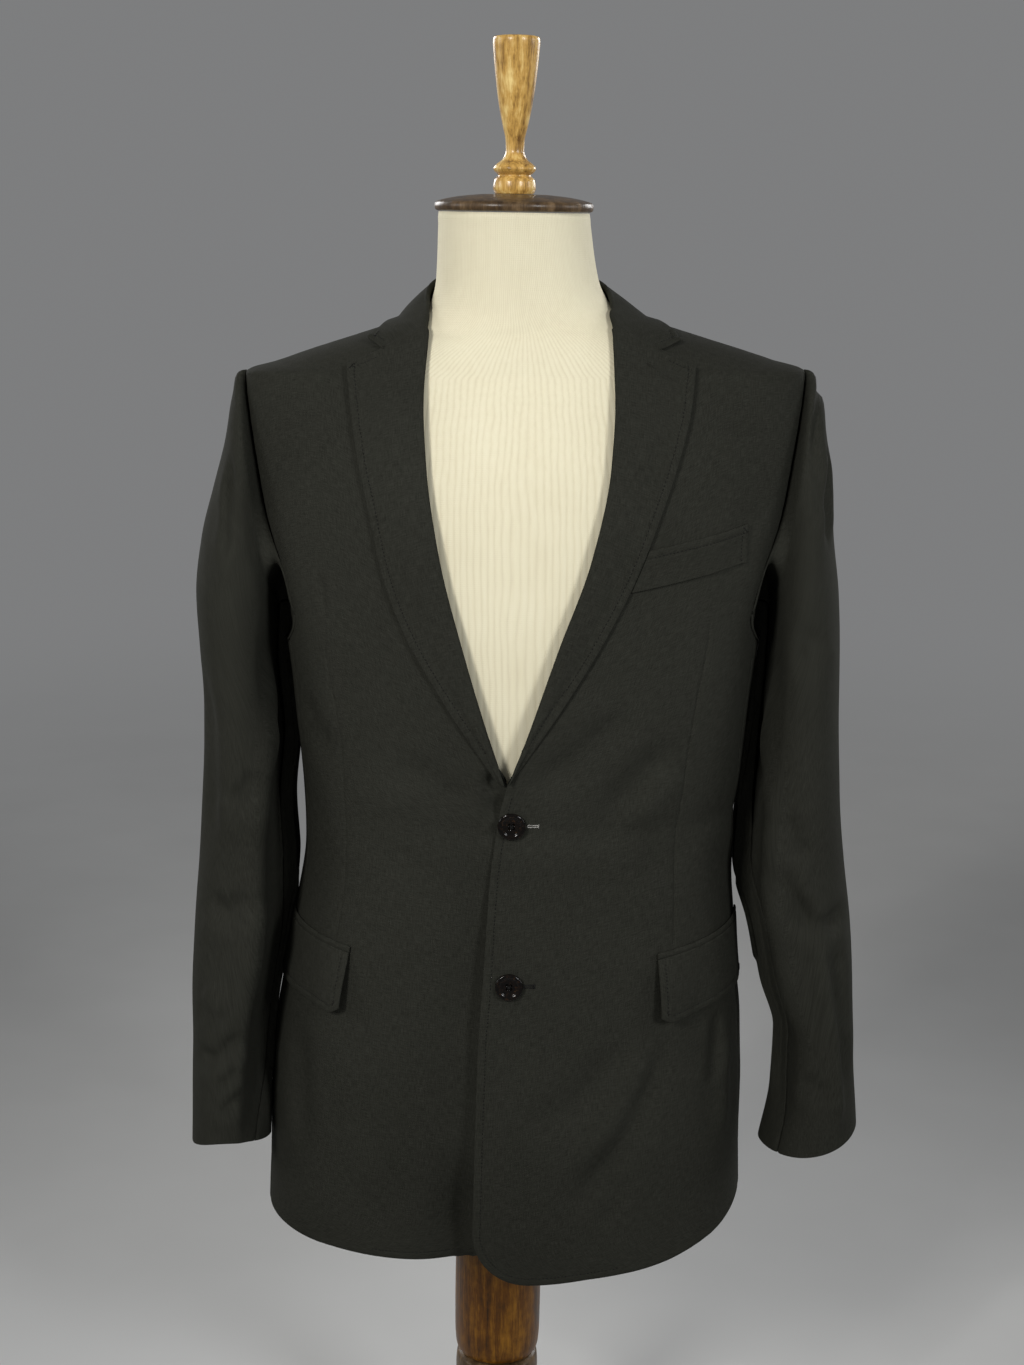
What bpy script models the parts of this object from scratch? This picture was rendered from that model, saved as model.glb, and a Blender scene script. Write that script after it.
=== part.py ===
"""Single-breasted two-button blazer worn on its limbless dress form and turned wood stand.

Metres, +Z up. The origin is the middle of the base's underside, the front faces -Y and the
wearer's left is +X.

The garment is drawn in its own symmetrical space: horizontal rings, addressed by an angle (0 at
the wearer's side, -90 at the centre front, +90 at the centre back) and a height. A right-hand
piece is drawn as a left-hand one and mirrored. worn() then puts each point where the jacket
hangs, a little off centre and a little tilted.
"""

import math
from collections import namedtuple

import bmesh
import bpy
from mathutils import Matrix, Vector

# ---- driving dimensions ----------------------------------------------------------------------

CLOTH = 0.0020  # wall of the body panels and sleeves
COLLAR_CLOTH = 0.0016  # wall of the collar and lapels
SEAM = 0.0003  # open seam between two pieces
LAY = 0.0010  # clearance under a piece that lies on a panel, over its facets

HEM_Z = 0.319  # lowest point of the hem
UNDERARM_Z = 0.832
BREAK_Z = 0.738  # where the lapel rolls out of the front edge
GORGE_Z = 1.0805  # where the forepart's roll line meets the neck seam
LAPEL_TOP_Z = 1.0830  # where the lapel's roll meets the collar's fold
SHOULDER_TIP_Z = 1.047
NECK_SEAM_SIDE_Z = 1.0955
NECK_SEAM_BACK_Z = 1.098

LAP_LIFT = 0.0029  # the left forepart rides this far outside the right one where they lap
LAP_FADES_X = (0.030, 0.075)  # and settles onto the body between these distances from the centre front
LAP_FADES_Z = (0.76, 0.86)  # and between these heights, over the break
UNDER_LAP_SHORT = 0.004  # the right forepart's front edge, short of the left one's

HEM_CORNER = 0.046  # radius of the cutaway front corner

Ring = namedtuple("Ring", "z half_width front back square")
BODY_RINGS = (
    Ring(0.300, 0.2035, 0.140, 0.128, 2.30),
    Ring(0.410, 0.2010, 0.138, 0.129, 2.30),
    Ring(0.510, 0.1950, 0.133, 0.125, 2.30),
    Ring(0.585, 0.1855, 0.127, 0.113, 2.30),
    Ring(0.660, 0.1768, 0.121, 0.102, 2.25),
    Ring(0.740, 0.1820, 0.124, 0.106, 2.25),
    Ring(0.800, 0.1870, 0.128, 0.114, 2.30),
    Ring(0.860, 0.1960, 0.130, 0.122, 2.35),
    Ring(0.920, 0.2080, 0.127, 0.127, 2.30),
    Ring(0.970, 0.2165, 0.118, 0.125, 2.20),
    Ring(1.010, 0.2215, 0.105, 0.116, 2.10),
    Ring(1.035, 0.2230, 0.092, 0.102, 2.02),
    Ring(1.047, 0.2222, 0.084, 0.092, 2.00),
    Ring(1.0540, 0.2000, 0.0815, 0.088, 2.00),
    Ring(1.0620, 0.1760, 0.0785, 0.085, 2.00),
    Ring(1.0705, 0.1490, 0.0755, 0.081, 2.00),
    Ring(1.0780, 0.1250, 0.0725, 0.077, 2.00),
    Ring(1.0845, 0.1040, 0.0700, 0.073, 2.00),
    Ring(1.0920, 0.0860, 0.0675, 0.070, 2.00),
    Ring(1.1010, 0.0740, 0.0655, 0.067, 2.00),
    Ring(1.1200, 0.0665, 0.0635, 0.0645, 2.00),
    Ring(1.1720, 0.0610, 0.0605, 0.0605, 2.00),
)

# how far the jacket and form stand off the post's axis, toward the wearer's left
Offset = namedtuple("Offset", "z x")
OFFSETS = (
    Offset(0.330, 0.0040),
    Offset(0.510, 0.0050),
    Offset(0.585, 0.0085),
    Offset(0.660, 0.0115),
    Offset(0.740, 0.0130),
    Offset(0.900, 0.0120),
    Offset(1.078, 0.0105),
    Offset(1.100, 0.0060),
    Offset(1.125, 0.0030),
    Offset(1.170, 0.0000),
)
TILT = 0.0157  # rise per metre toward the wearer's left
TILT_FADES = (1.080, 1.150)

# the roll line, as distance from the centre front; left laps over right, so the two differ
Roll = namedtuple("Roll", "z left right")
ROLL_LINE = (
    Roll(0.730, -0.0140, 0.0105),
    Roll(0.738, -0.0107, 0.0128),
    Roll(0.787, 0.0064, 0.0286),
    Roll(0.848, 0.0270, 0.0463),
    Roll(0.916, 0.0512, 0.0637),
    Roll(0.983, 0.0650, 0.0742),
    Roll(1.032, 0.0677, 0.0770),
    Roll(1.0805, 0.0662, 0.0770),
)

# the lapel's outer edge, from the break up to its tip
Edge = namedtuple("Edge", "x z")
LAPEL_EDGE = {
    "left": (
        Edge(-0.0085, 0.7420),
        Edge(0.0342, 0.8083),
        Edge(0.0612, 0.8538),
        Edge(0.0835, 0.8980),
        Edge(0.1022, 0.9466),
        Edge(0.1156, 0.9860),
        Edge(0.1252, 1.0228),
        Edge(0.1295, 1.0520),
    ),
    "right": (
        Edge(0.0185, 0.7400),
        Edge(0.0650, 0.8131),
        Edge(0.0899, 0.8584),
        Edge(0.1060, 0.9003),
        Edge(0.1169, 0.9489),
        Edge(0.1260, 0.9880),
        Edge(0.1324, 1.0264),
        Edge(0.1362, 1.0535),
    ),
}
NOTCH = Edge(0.1067, 1.0690)

# the front edge below the break, from the centre front (negative: past it)
FRONT_EDGE = (
    Edge(-0.0250, 0.300),
    Edge(-0.0238, 0.440),
    Edge(-0.0227, 0.563),
    Edge(-0.0221, 0.645),
    Edge(-0.0164, 0.712),
    Edge(-0.0107, 0.738),
)

# height of the hem above its lowest point, round the half body
HemRise = namedtuple("HemRise", "angle left right")
HEM_RISE = (
    HemRise(-100.0, 0.000, 0.019),
    HemRise(-80.0, 0.001, 0.018),
    HemRise(-60.0, 0.004, 0.018),
    HemRise(-35.0, 0.016, 0.018),
    HemRise(0.0, 0.034, 0.019),
    HemRise(45.0, 0.034, 0.024),
    HemRise(90.0, 0.029, 0.029),
)
HEM_FADES_Z = (0.365, 0.510)  # rows follow the hem below the first height and are level above the second

FRONT_SEAM = (-9.0, -15.0)  # side panel's front seam: ring angle at the hem and at the underarm
BACK_SEAM = (34.0, 26.0)  # side panel's back seam

# the armhole: how far it reaches forward and back as ring angle, from the shoulder tip (turn 0)
# round to the underarm
Armhole = namedtuple("Armhole", "turn front back")
ARMHOLE = (
    Armhole(0.0, 0.0, 0.0),
    Armhole(30.0, 8.0, 10.0),
    Armhole(60.0, 13.0, 20.0),
    Armhole(90.0, 16.5, 27.0),
    Armhole(118.0, 23.5, 30.0),
    Armhole(138.0, 24.5, 27.5),
    Armhole(160.0, 15.5, 16.0),
    Armhole(180.0, 0.0, 0.0),
)

# sleeve rings: outer and inner points in front view, front and back reach from the ring's middle line
SleeveRing = namedtuple("SleeveRing", "out_x out_z in_x in_z y front back")
SLEEVE_RINGS = {
    "left": (
        SleeveRing(0.2310, 1.0440, 0.1955, 0.8290, 0.0, 0.057, 0.064),
        SleeveRing(0.2385, 1.0260, 0.1955, 0.8260, 0.0, 0.063, 0.069),
        SleeveRing(0.2440, 0.9950, 0.1948, 0.8200, 0.0, 0.068, 0.072),
        SleeveRing(0.2485, 0.9560, 0.1938, 0.8130, -0.001, 0.071, 0.074),
        SleeveRing(0.2520, 0.9160, 0.1926, 0.8060, -0.002, 0.073, 0.074),
        SleeveRing(0.2580, 0.8700, 0.1912, 0.7960, -0.003, 0.073, 0.074),
        SleeveRing(0.2610, 0.8240, 0.1893, 0.7800, -0.004, 0.072, 0.073),
        SleeveRing(0.2620, 0.7700, 0.1867, 0.7500, -0.006, 0.071, 0.071),
        SleeveRing(0.2660, 0.7050, 0.1832, 0.7000, -0.009, 0.070, 0.069),
        SleeveRing(0.2740, 0.6450, 0.1820, 0.6450, -0.012, 0.068, 0.067),
        SleeveRing(0.2832, 0.5900, 0.1980, 0.5900, -0.0165, 0.065, 0.064),
        SleeveRing(0.2895, 0.5400, 0.2120, 0.5400, -0.022, 0.062, 0.061),
        SleeveRing(0.2935, 0.4950, 0.2265, 0.4950, -0.027, 0.060, 0.059),
        SleeveRing(0.2962, 0.4550, 0.2255, 0.4550, -0.033, 0.058, 0.057),
        SleeveRing(0.2988, 0.4180, 0.2165, 0.4180, -0.038, 0.056, 0.055),
    ),
    "right": (
        SleeveRing(0.2310, 1.0440, 0.1955, 0.8290, 0.0, 0.057, 0.064),
        SleeveRing(0.2365, 1.0260, 0.1955, 0.8260, 0.0, 0.063, 0.069),
        SleeveRing(0.2420, 0.9950, 0.1948, 0.8200, 0.0, 0.068, 0.072),
        SleeveRing(0.2520, 0.9560, 0.1938, 0.8130, -0.001, 0.071, 0.074),
        SleeveRing(0.2622, 0.9160, 0.1926, 0.8060, -0.002, 0.073, 0.074),
        SleeveRing(0.2678, 0.8700, 0.1912, 0.7960, -0.003, 0.073, 0.074),
        SleeveRing(0.2660, 0.8240, 0.1893, 0.7800, -0.004, 0.072, 0.073),
        SleeveRing(0.2625, 0.7700, 0.1867, 0.7500, -0.006, 0.071, 0.071),
        SleeveRing(0.2640, 0.7050, 0.1905, 0.7000, -0.009, 0.070, 0.069),
        SleeveRing(0.2670, 0.6450, 0.1890, 0.6450, -0.012, 0.068, 0.067),
        SleeveRing(0.2680, 0.5900, 0.1915, 0.5900, -0.0165, 0.065, 0.064),
        SleeveRing(0.2672, 0.5400, 0.1955, 0.5400, -0.022, 0.062, 0.061),
        SleeveRing(0.2664, 0.4950, 0.1990, 0.4950, -0.027, 0.060, 0.059),
        SleeveRing(0.2658, 0.4550, 0.2015, 0.4550, -0.033, 0.058, 0.057),
        SleeveRing(0.2653, 0.4120, 0.2040, 0.4120, -0.038, 0.056, 0.055),
    ),
}
SLEEVE_FRONT_SEAM = 136.0  # ring angle from the outer point, round the front
SLEEVE_BACK_SEAM = 238.0
SLEEVE_SEAM_ANGLE = 0.6  # half a sleeve seam, as ring angle
SLEEVE_LOOK = 2.0  # step of ring angle over which a sleeve's normal is read
SLEEVE_HEAD_LIFT = 0.0035  # the sleeve head, over the body's surface
SLEEVE_HEAD_GROW = 0.0012  # and this far outside the armhole's edge
TOP_SLEEVE_COLUMNS = 12
UNDER_SLEEVE_COLUMNS = 7
ARM_RADIUS = 0.12  # turns a length along the armhole into ring angle
SLEEVE_CREASE = 1.25  # 1 is an oval; more pinches the front and back folds

# the collar from the centre back round to the gorge: ring angle and height of its fold, and the
# plan place of its outer edge
CollarStation = namedtuple("CollarStation", "angle fold_z edge_x edge_y")
COLLAR_STATIONS = (
    CollarStation(90.0, 1.1280, 0.0000, 0.0810),
    CollarStation(66.0, 1.1275, 0.0400, 0.0765),
    CollarStation(42.0, 1.1255, 0.0760, 0.0610),
    CollarStation(20.0, 1.1220, 0.0990, 0.0370),
    CollarStation(2.0, 1.1165, 0.1110, 0.0120),
    CollarStation(-13.0, 1.1075, 0.1180, -0.0050),
    CollarStation(-26.0, 1.0975, 0.1225, -0.0130),
    CollarStation(-36.0, 1.0935, 0.1240, -0.0165),
    CollarStation(-43.5, 1.0900, 0.1240, -0.0180),
)
# the roll lines lie unevenly, so the collar's ends turn with them
COLLAR_END_SHIFT = {"left": -4.5, "right": 4.5}

BUTTON_RADIUS = 0.0110
BUTTON_HEIGHT = 0.0036
BUTTON_CLEAR = 0.0007  # under the button's shank
BUTTON_HOLE_RADIUS = 0.0010
BUTTON_HOLE_SPREAD = 0.0021
BUTTONS = {"button_upper": Edge(-0.0069, 0.7056), "button_lower": Edge(-0.0030, 0.5723)}

Turn = namedtuple("Turn", "radius z")
BUTTON_PROFILE = (  # as shares of the button's radius and height
    Turn(0.34, 0.00),
    Turn(0.40, 0.25),
    Turn(0.90, 0.40),
    Turn(1.00, 0.62),
    Turn(0.98, 0.85),
    Turn(0.88, 1.00),
    Turn(0.74, 0.94),
    Turn(0.62, 0.68),
    Turn(0.20, 0.64),
)

FLAP_FRONT = {"left": 0.115, "right": 0.131}  # from the centre front to the flap's front edge
FLAP_BACK_ANGLE = -3.0  # ring angle where the flap ends
FLAP_TOP_Z = 0.590
FLAP_DEPTH = 0.049
FLAP_SLANT = 0.010  # rise of the flap's top edge from front to back
FLAP_LEAN = 3.0  # how far the flap's front edge leans forward at its foot, as ring angle
JET_HEIGHT = 0.0045
JET_GAP = 0.0006
POCKET_CLOTH = 0.0016  # wall of the jets and the welt

WELT_LOW_X = 0.0870
WELT_HIGH_X = 0.1745
WELT_Z = 0.9050  # middle of the welt's lower edge
WELT_SLOPE = 0.215
WELT_HEIGHT = 0.0245
WELT_LEAN = 0.006  # how far the welt's ends lean toward the armhole at their top

FORM_BOTTOM_Z = 0.420
CAP_Z = 1.172  # underside of the neck cap
# how far the form lies inside the jacket's rings
Inset = namedtuple("Inset", "z gap")
FORM_INSETS = (
    Inset(0.420, 0.0200),
    Inset(0.510, 0.0160),
    Inset(0.600, 0.0120),
    Inset(0.700, 0.0090),
    Inset(0.840, 0.0080),
    Inset(0.920, 0.0070),
    Inset(0.980, 0.0040),
    Inset(1.030, 0.0034),
    Inset(1.047, 0.0020),
    Inset(1.062, 0.0013),
    Inset(1.078, 0.0018),
    Inset(1.092, 0.0020),
    Inset(1.172, 0.0016),
)

NECK_CAP = (
    Turn(0.0600, 1.1723),
    Turn(0.0622, 1.1735),
    Turn(0.0628, 1.1760),
    Turn(0.0620, 1.1788),
    Turn(0.0560, 1.1812),
    Turn(0.0420, 1.1838),
    Turn(0.0260, 1.1854),
)
FINIAL = (
    Turn(0.0150, 1.1857),
    Turn(0.0168, 1.1900),
    Turn(0.0160, 1.1965),
    Turn(0.0128, 1.2000),
    Turn(0.0158, 1.2030),
    Turn(0.0168, 1.2052),
    Turn(0.0150, 1.2080),
    Turn(0.0096, 1.2125),
    Turn(0.0072, 1.2190),
    Turn(0.0076, 1.2270),
    Turn(0.0100, 1.2380),
    Turn(0.0132, 1.2540),
    Turn(0.0160, 1.2740),
    Turn(0.0178, 1.2920),
    Turn(0.0184, 1.3010),
    Turn(0.0178, 1.3040),
    Turn(0.0150, 1.3050),
)
POST = (
    Turn(0.0300, 0.1790),
    Turn(0.0352, 0.1830),
    Turn(0.0368, 0.1900),
    Turn(0.0376, 0.2050),
    Turn(0.0378, 0.2400),
    Turn(0.0370, 0.3000),
    Turn(0.0345, 0.3600),
    Turn(0.0320, 0.4197),
)
POST_RING = (
    Turn(0.0320, 0.1500),
    Turn(0.0356, 0.1530),
    Turn(0.0364, 0.1640),
    Turn(0.0356, 0.1755),
    Turn(0.0320, 0.1787),
)
POST_LOWER = (
    Turn(0.0340, 0.0303),
    Turn(0.0350, 0.0360),
    Turn(0.0300, 0.0480),
    Turn(0.0262, 0.0700),
    Turn(0.0262, 0.1100),
    Turn(0.0300, 0.1400),
    Turn(0.0318, 0.1497),
)
BASE = (
    Turn(0.1520, 0.0000),
    Turn(0.1550, 0.0030),
    Turn(0.1550, 0.0140),
    Turn(0.1500, 0.0190),
    Turn(0.1420, 0.0210),
    Turn(0.0900, 0.0270),
    Turn(0.0450, 0.0300),
)
TURNED_SIDES = 28

Finish = namedtuple("Finish", "colour roughness metallic")
WOOL = Finish((0.018, 0.018, 0.016, 1.0), 0.85, 0.0)
JERSEY = Finish((0.78, 0.74, 0.60, 1.0), 0.9, 0.0)
HONEY_WOOD = Finish((0.30, 0.15, 0.045, 1.0), 0.35, 0.0)
DARK_WOOD = Finish((0.11, 0.060, 0.028, 1.0), 0.4, 0.0)
HORN = Finish((0.012, 0.008, 0.006, 1.0), 0.12, 0.0)


# ---- curves through the tables ---------------------------------------------------------------


def curve_through(xs, ys):
    """A smooth curve through the points that never overshoots them, as a function of x."""
    gaps = [b - a for a, b in zip(xs, xs[1:])]
    slopes = [(d - c) / g for c, d, g in zip(ys, ys[1:], gaps)]
    tangents = [slopes[0]]
    for before, after in zip(slopes, slopes[1:]):
        tangents.append(0.0 if before * after <= 0.0 else 2.0 * before * after / (before + after))
    tangents.append(slopes[-1])

    def value(x):
        if x <= xs[0]:
            return ys[0]
        if x >= xs[-1]:
            return ys[-1]
        i = max(k for k in range(len(gaps)) if xs[k] <= x)
        u = (x - xs[i]) / gaps[i]
        rise = ys[i + 1] - ys[i]
        start = gaps[i] * tangents[i]
        end = gaps[i] * tangents[i + 1]
        bend = u * u * (3.0 * rise - 2.0 * start - end)
        return ys[i] + u * start + bend + u**3 * (start + end - 2.0 * rise)

    return value


def column(rows, key, value):
    """The curve of one named column of a table over another."""
    return curve_through([getattr(r, key) for r in rows], [getattr(r, value) for r in rows])


def smooth_step(x, start, end):
    u = min(1.0, max(0.0, (x - start) / (end - start)))
    return u * u * (3.0 - 2.0 * u)


def mix(a, b, u):
    return a + (b - a) * u


half_width = column(BODY_RINGS, "z", "half_width")
front_depth = column(BODY_RINGS, "z", "front")
back_depth = column(BODY_RINGS, "z", "back")
squareness = column(BODY_RINGS, "z", "square")
offset_at = column(OFFSETS, "z", "x")
roll_x = {"left": column(ROLL_LINE, "z", "left"), "right": column(ROLL_LINE, "z", "right")}
hem_rise = {"left": column(HEM_RISE, "angle", "left"), "right": column(HEM_RISE, "angle", "right")}
front_edge_x = column(tuple(sorted(FRONT_EDGE, key=lambda e: e.z)), "z", "x")
form_inset = column(FORM_INSETS, "z", "gap")


# ---- the body's surface ----------------------------------------------------------------------


def ring_point(angle, z):
    """A point of the body's ring at height z."""
    t = math.radians(angle)
    power = 2.0 / squareness(z)
    across = math.copysign(abs(math.cos(t)) ** power, math.cos(t))
    along = math.copysign(abs(math.sin(t)) ** power, math.sin(t))
    depth = back_depth(z) if along > 0.0 else front_depth(z)
    return Vector((half_width(z) * across, depth * along, z))


def surface(angle, z, lift=0.0):
    """A point of the body's surface, moved out along its normal."""
    point = ring_point(angle, z)
    if lift == 0.0:
        return point
    step = 0.8
    nudge = 0.0008
    around = ring_point(angle + step, z) - ring_point(angle - step, z)
    up = ring_point(angle, z + nudge) - ring_point(angle, z - nudge)
    return point + around.cross(up).normalized() * lift


def angle_at(x, z):
    """The ring angle of the front point that lies x from the centre front."""
    share = min(1.0, abs(x) / half_width(z))
    turn = math.degrees(math.acos(share ** (squareness(z) / 2.0)))
    return -turn if x >= 0.0 else turn - 180.0


def front_surface(x, z, lift=0.0):
    return surface(angle_at(x, z), z, lift)


def shoulder_height(x, y):
    """The height of the body's surface over a plan point on the shoulder or beside the neck."""
    low, high = 0.95, CAP_Z
    for _ in range(40):
        z = 0.5 * (low + high)
        depth = back_depth(z) if y > 0.0 else front_depth(z)
        power = squareness(z)
        outside = (abs(x) / half_width(z)) ** power + (abs(y) / depth) ** power > 1.0
        low, high = (low, z) if outside else (z, high)
    return low


def lap_lift(side, x, z):
    """How far the left forepart stands off, to pass over the right one."""
    if side == "right":
        return 0.0
    return LAP_LIFT * (1.0 - smooth_step(x, *LAP_FADES_X)) * (1.0 - smooth_step(z, *LAP_FADES_Z))


def worn(point):
    """Where a point of the symmetrical garment hangs."""
    tilt = TILT * (1.0 - smooth_step(point.z, *TILT_FADES))
    return Vector((point.x + offset_at(point.z), point.y, point.z + tilt * point.x))


def mirrored(point, side):
    return point if side == "left" else Vector((-point.x, point.y, point.z))


# ---- making solids ---------------------------------------------------------------------------


SHARP_ANGLE = math.radians(40.0)


def finish_of(name, look):
    material = bpy.data.materials.new(name)
    material.use_nodes = True
    shader = material.node_tree.nodes["Principled BSDF"]
    shader.inputs["Base Color"].default_value = look.colour
    shader.inputs["Roughness"].default_value = look.roughness
    shader.inputs["Metallic"].default_value = look.metallic
    material.diffuse_color = look.colour
    return material


def add_solid(name, points, faces, look):
    mesh = bpy.data.meshes.new(name)
    mesh.from_pydata([tuple(p) for p in points], [], faces)
    mesh.validate()
    mesh.update()
    mesh.shade_smooth()
    mesh.set_sharp_from_angle(angle=SHARP_ANGLE)
    mesh.materials.append(finish_of(name, look))
    solid = bpy.data.objects.new(name, mesh)
    bpy.context.scene.collection.objects.link(solid)
    return solid


def wall(name, outer, inner, side, look):
    """A closed wall between two grids of points, rows by columns. The right side's is mirrored."""
    rows = len(outer)
    columns = len(outer[0])
    size = rows * columns
    points = [worn(mirrored(p, side)) for grid in (outer, inner) for row in grid for p in row]

    def at(row, col, layer=0):
        return layer * size + row * columns + col

    faces = []
    for r in range(rows - 1):
        for c in range(columns - 1):
            faces.append((at(r, c), at(r, c + 1), at(r + 1, c + 1), at(r + 1, c)))
            faces.append((at(r, c, 1), at(r + 1, c, 1), at(r + 1, c + 1, 1), at(r, c + 1, 1)))
    rim = [(0, c) for c in range(columns)]
    rim += [(r, columns - 1) for r in range(1, rows)]
    rim += [(rows - 1, c) for c in range(columns - 2, -1, -1)]
    rim += [(r, 0) for r in range(rows - 2, 0, -1)]
    for a, b in zip(rim, rim[1:] + rim[:1]):
        faces.append((at(*b), at(*a), at(*a, 1), at(*b, 1)))
    if side == "right":
        faces = [tuple(reversed(f)) for f in faces]
    return add_solid(name, points, faces, look)


def inner_grid(outer, thickness):
    """The grid one wall's thickness behind an outer grid, along its own normals."""
    rows = len(outer)
    columns = len(outer[0])
    grid = []
    for r in range(rows):
        line = []
        for c in range(columns):
            across = outer[r][min(c + 1, columns - 1)] - outer[r][max(c - 1, 0)]
            down = outer[min(r + 1, rows - 1)][c] - outer[max(r - 1, 0)][c]
            line.append(outer[r][c] - across.cross(down).normalized() * thickness)
        grid.append(line)
    return grid


def turned(name, profile, look, sides=TURNED_SIDES):
    """A turned piece on the post's axis, its profile read upward."""
    points = []
    for turn in profile:
        for s in range(sides):
            a = 2.0 * math.pi * s / sides
            points.append(Vector((turn.radius * math.cos(a), turn.radius * math.sin(a), turn.z)))
    faces = [tuple(range(sides - 1, -1, -1))]
    for r in range(len(profile) - 1):
        for s in range(sides):
            n = (s + 1) % sides
            faces.append((r * sides + s, r * sides + n, (r + 1) * sides + n, (r + 1) * sides + s))
    faces.append(tuple(range((len(profile) - 1) * sides, len(profile) * sides)))
    return add_solid(name, points, faces, look)


# ---- body panels -----------------------------------------------------------------------------

HEM_STEPS = (0.0, 0.003, 0.009, 0.018, 0.030, HEM_CORNER)  # rows round the cutaway corner, above the hem
HEM_ENDS = (0.0, HEM_CORNER)
BODY_LEVELS = (0.400, 0.450, 0.500, 0.550, 0.600, 0.650, 0.695, BREAK_Z, 0.770, 0.805)
ARM_LEVELS = (0.870, 0.900, 0.935, 0.970, 1.000, 1.022, 1.037, SHOULDER_TIP_Z)
SHOULDER_LEVELS = (1.054, 1.062, 1.0705, 1.0755, GORGE_Z, 1.0845, 1.089)
SEAM_ANGLE = 0.06  # half a seam, as ring angle on the body
BACK_SEAM_ANGLE = 0.03
SHOULDER_SEAM_ANGLE = 0.25
SEAM_LOOK = (-12.0, 30.0)  # ring angles at which the two side seams read a row's height
FRONT_COLUMNS = 11
SIDE_COLUMNS = 5
BACK_COLUMNS = 9
FRONT_BELOW_SEAM = 0.0015  # the panels stop this far under the neck seam
BACK_BELOW_SEAM = 0.0005

ARM_MIDDLE_Z = 0.5 * (SHOULDER_TIP_Z + UNDERARM_Z)
ARM_HALF_HEIGHT = 0.5 * (SHOULDER_TIP_Z - UNDERARM_Z)


armhole_reach = {-1: column(ARMHOLE, "turn", "front"), 1: column(ARMHOLE, "turn", "back")}
WIDEST_TURN = {-1: 138.0, 1: 118.0}  # where the armhole reaches furthest forward and back


def armhole_angle(z, toward):
    """The ring angle of the armhole's edge at height z, on its front (-1) or back (+1) side."""
    share = min(1.0, max(-1.0, (z - ARM_MIDDLE_Z) / ARM_HALF_HEIGHT))
    return toward * armhole_reach[toward](math.degrees(math.acos(share)))


def underarm_height(angle):
    """The height of the armhole's lower edge at a ring angle of the side panel."""
    toward = -1 if angle < 0.0 else 1
    low, high = WIDEST_TURN[toward], 180.0
    for _ in range(30):
        turn = 0.5 * (low + high)
        low, high = (turn, high) if armhole_reach[toward](turn) > abs(angle) else (low, turn)
    return ARM_MIDDLE_Z + ARM_HALF_HEIGHT * math.cos(math.radians(low))


JOIN_Z = {-1: underarm_height(FRONT_SEAM[1]), 1: underarm_height(BACK_SEAM[1])}


def seam_angle(z, seam):
    return mix(seam[0], seam[1], smooth_step(z, HEM_Z, UNDERARM_Z))


def side_edge(z, toward):
    """The ring angle where a forepart (-1) or back (+1) ends: side seam, then armhole."""
    if z > JOIN_Z[toward]:
        return armhole_angle(z, toward)
    return seam_angle(z, FRONT_SEAM if toward < 0 else BACK_SEAM)


def panel_levels(toward):
    """Row heights of a forepart or back, from over the hem to the neck."""
    join = JOIN_Z[toward]
    return BODY_LEVELS + (mix(BODY_LEVELS[-1], join, 0.5), join) + ARM_LEVELS + SHOULDER_LEVELS


def neck_seam_z(angle):
    """The height of the neck seam round the half body."""
    gorge_angle = angle_at(0.5 * (ROLL_LINE[-1].left + ROLL_LINE[-1].right), GORGE_Z)
    if angle <= 0.0:
        return mix(NECK_SEAM_SIDE_Z, GORGE_Z, min(1.0, angle / gorge_angle))
    return mix(NECK_SEAM_SIDE_Z, NECK_SEAM_BACK_Z, smooth_step(angle, 0.0, 90.0))


def row_heights(side, steps, levels):
    """Row heights as functions of the ring angle: rows that follow the hem, then level rows."""
    rows = []
    for step in steps:
        rows.append(lambda angle, h=step: HEM_Z + hem_rise[side](angle) + h)
    for level in levels:
        rows.append(
            lambda angle, z=level: z + hem_rise[side](angle) * (1.0 - smooth_step(z, *HEM_FADES_Z))
        )
    return rows


def front_edge_angle(side, z, above_hem):
    """The ring angle of the forepart's front edge: roll line above the break, lapping edge below it."""
    if z > BREAK_Z:
        return angle_at(roll_x[side](z), z)
    lap = front_edge_x(z) if side == "left" else front_edge_x(z) + UNDER_LAP_SHORT
    corner = min(1.0, max(0.0, 1.0 - above_hem / HEM_CORNER))
    lap += HEM_CORNER * (1.0 - math.sqrt(1.0 - corner * corner))
    return angle_at(lap, z)


def body_panel(name, side, rows, ends, columns, stand_off):
    """A wall on the body over the given row heights, between the ring angles ends() gives a row."""
    outer = []
    inner = []
    for height in rows:
        start, end = ends(height)
        out_row = []
        in_row = []
        for c in range(columns):
            angle = mix(start, end, c / (columns - 1))
            z = height(angle)
            lift = stand_off(ring_point(angle, z).x, z)
            out_row.append(surface(angle, z, lift + CLOTH))
            in_row.append(surface(angle, z, lift))
        outer.append(out_row)
        inner.append(in_row)
    return wall(name, outer, inner, side, WOOL)


def flush(x, z):
    """The stand-off of a panel that nothing laps."""
    return 0.0


def make_front(side):
    gorge_angle = angle_at(roll_x[side](GORGE_Z), GORGE_Z)

    def ends(height):
        z = height(-90.0)
        start = front_edge_angle(side, z, z - HEM_Z - hem_rise[side](-90.0))
        if z > GORGE_Z:
            start = mix(gorge_angle, 0.0, (z - GORGE_Z) / (NECK_SEAM_SIDE_Z - GORGE_Z))
        end = side_edge(height(SEAM_LOOK[0]), -1) - SEAM_ANGLE
        if z >= SHOULDER_TIP_Z:
            end = -SHOULDER_SEAM_ANGLE
        return start, end

    levels = panel_levels(-1) + (NECK_SEAM_SIDE_Z - FRONT_BELOW_SEAM,)
    rows = row_heights(side, HEM_STEPS, levels)
    return body_panel("front_" + side, side, rows, ends, FRONT_COLUMNS, lambda x, z: lap_lift(side, x, z))


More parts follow.
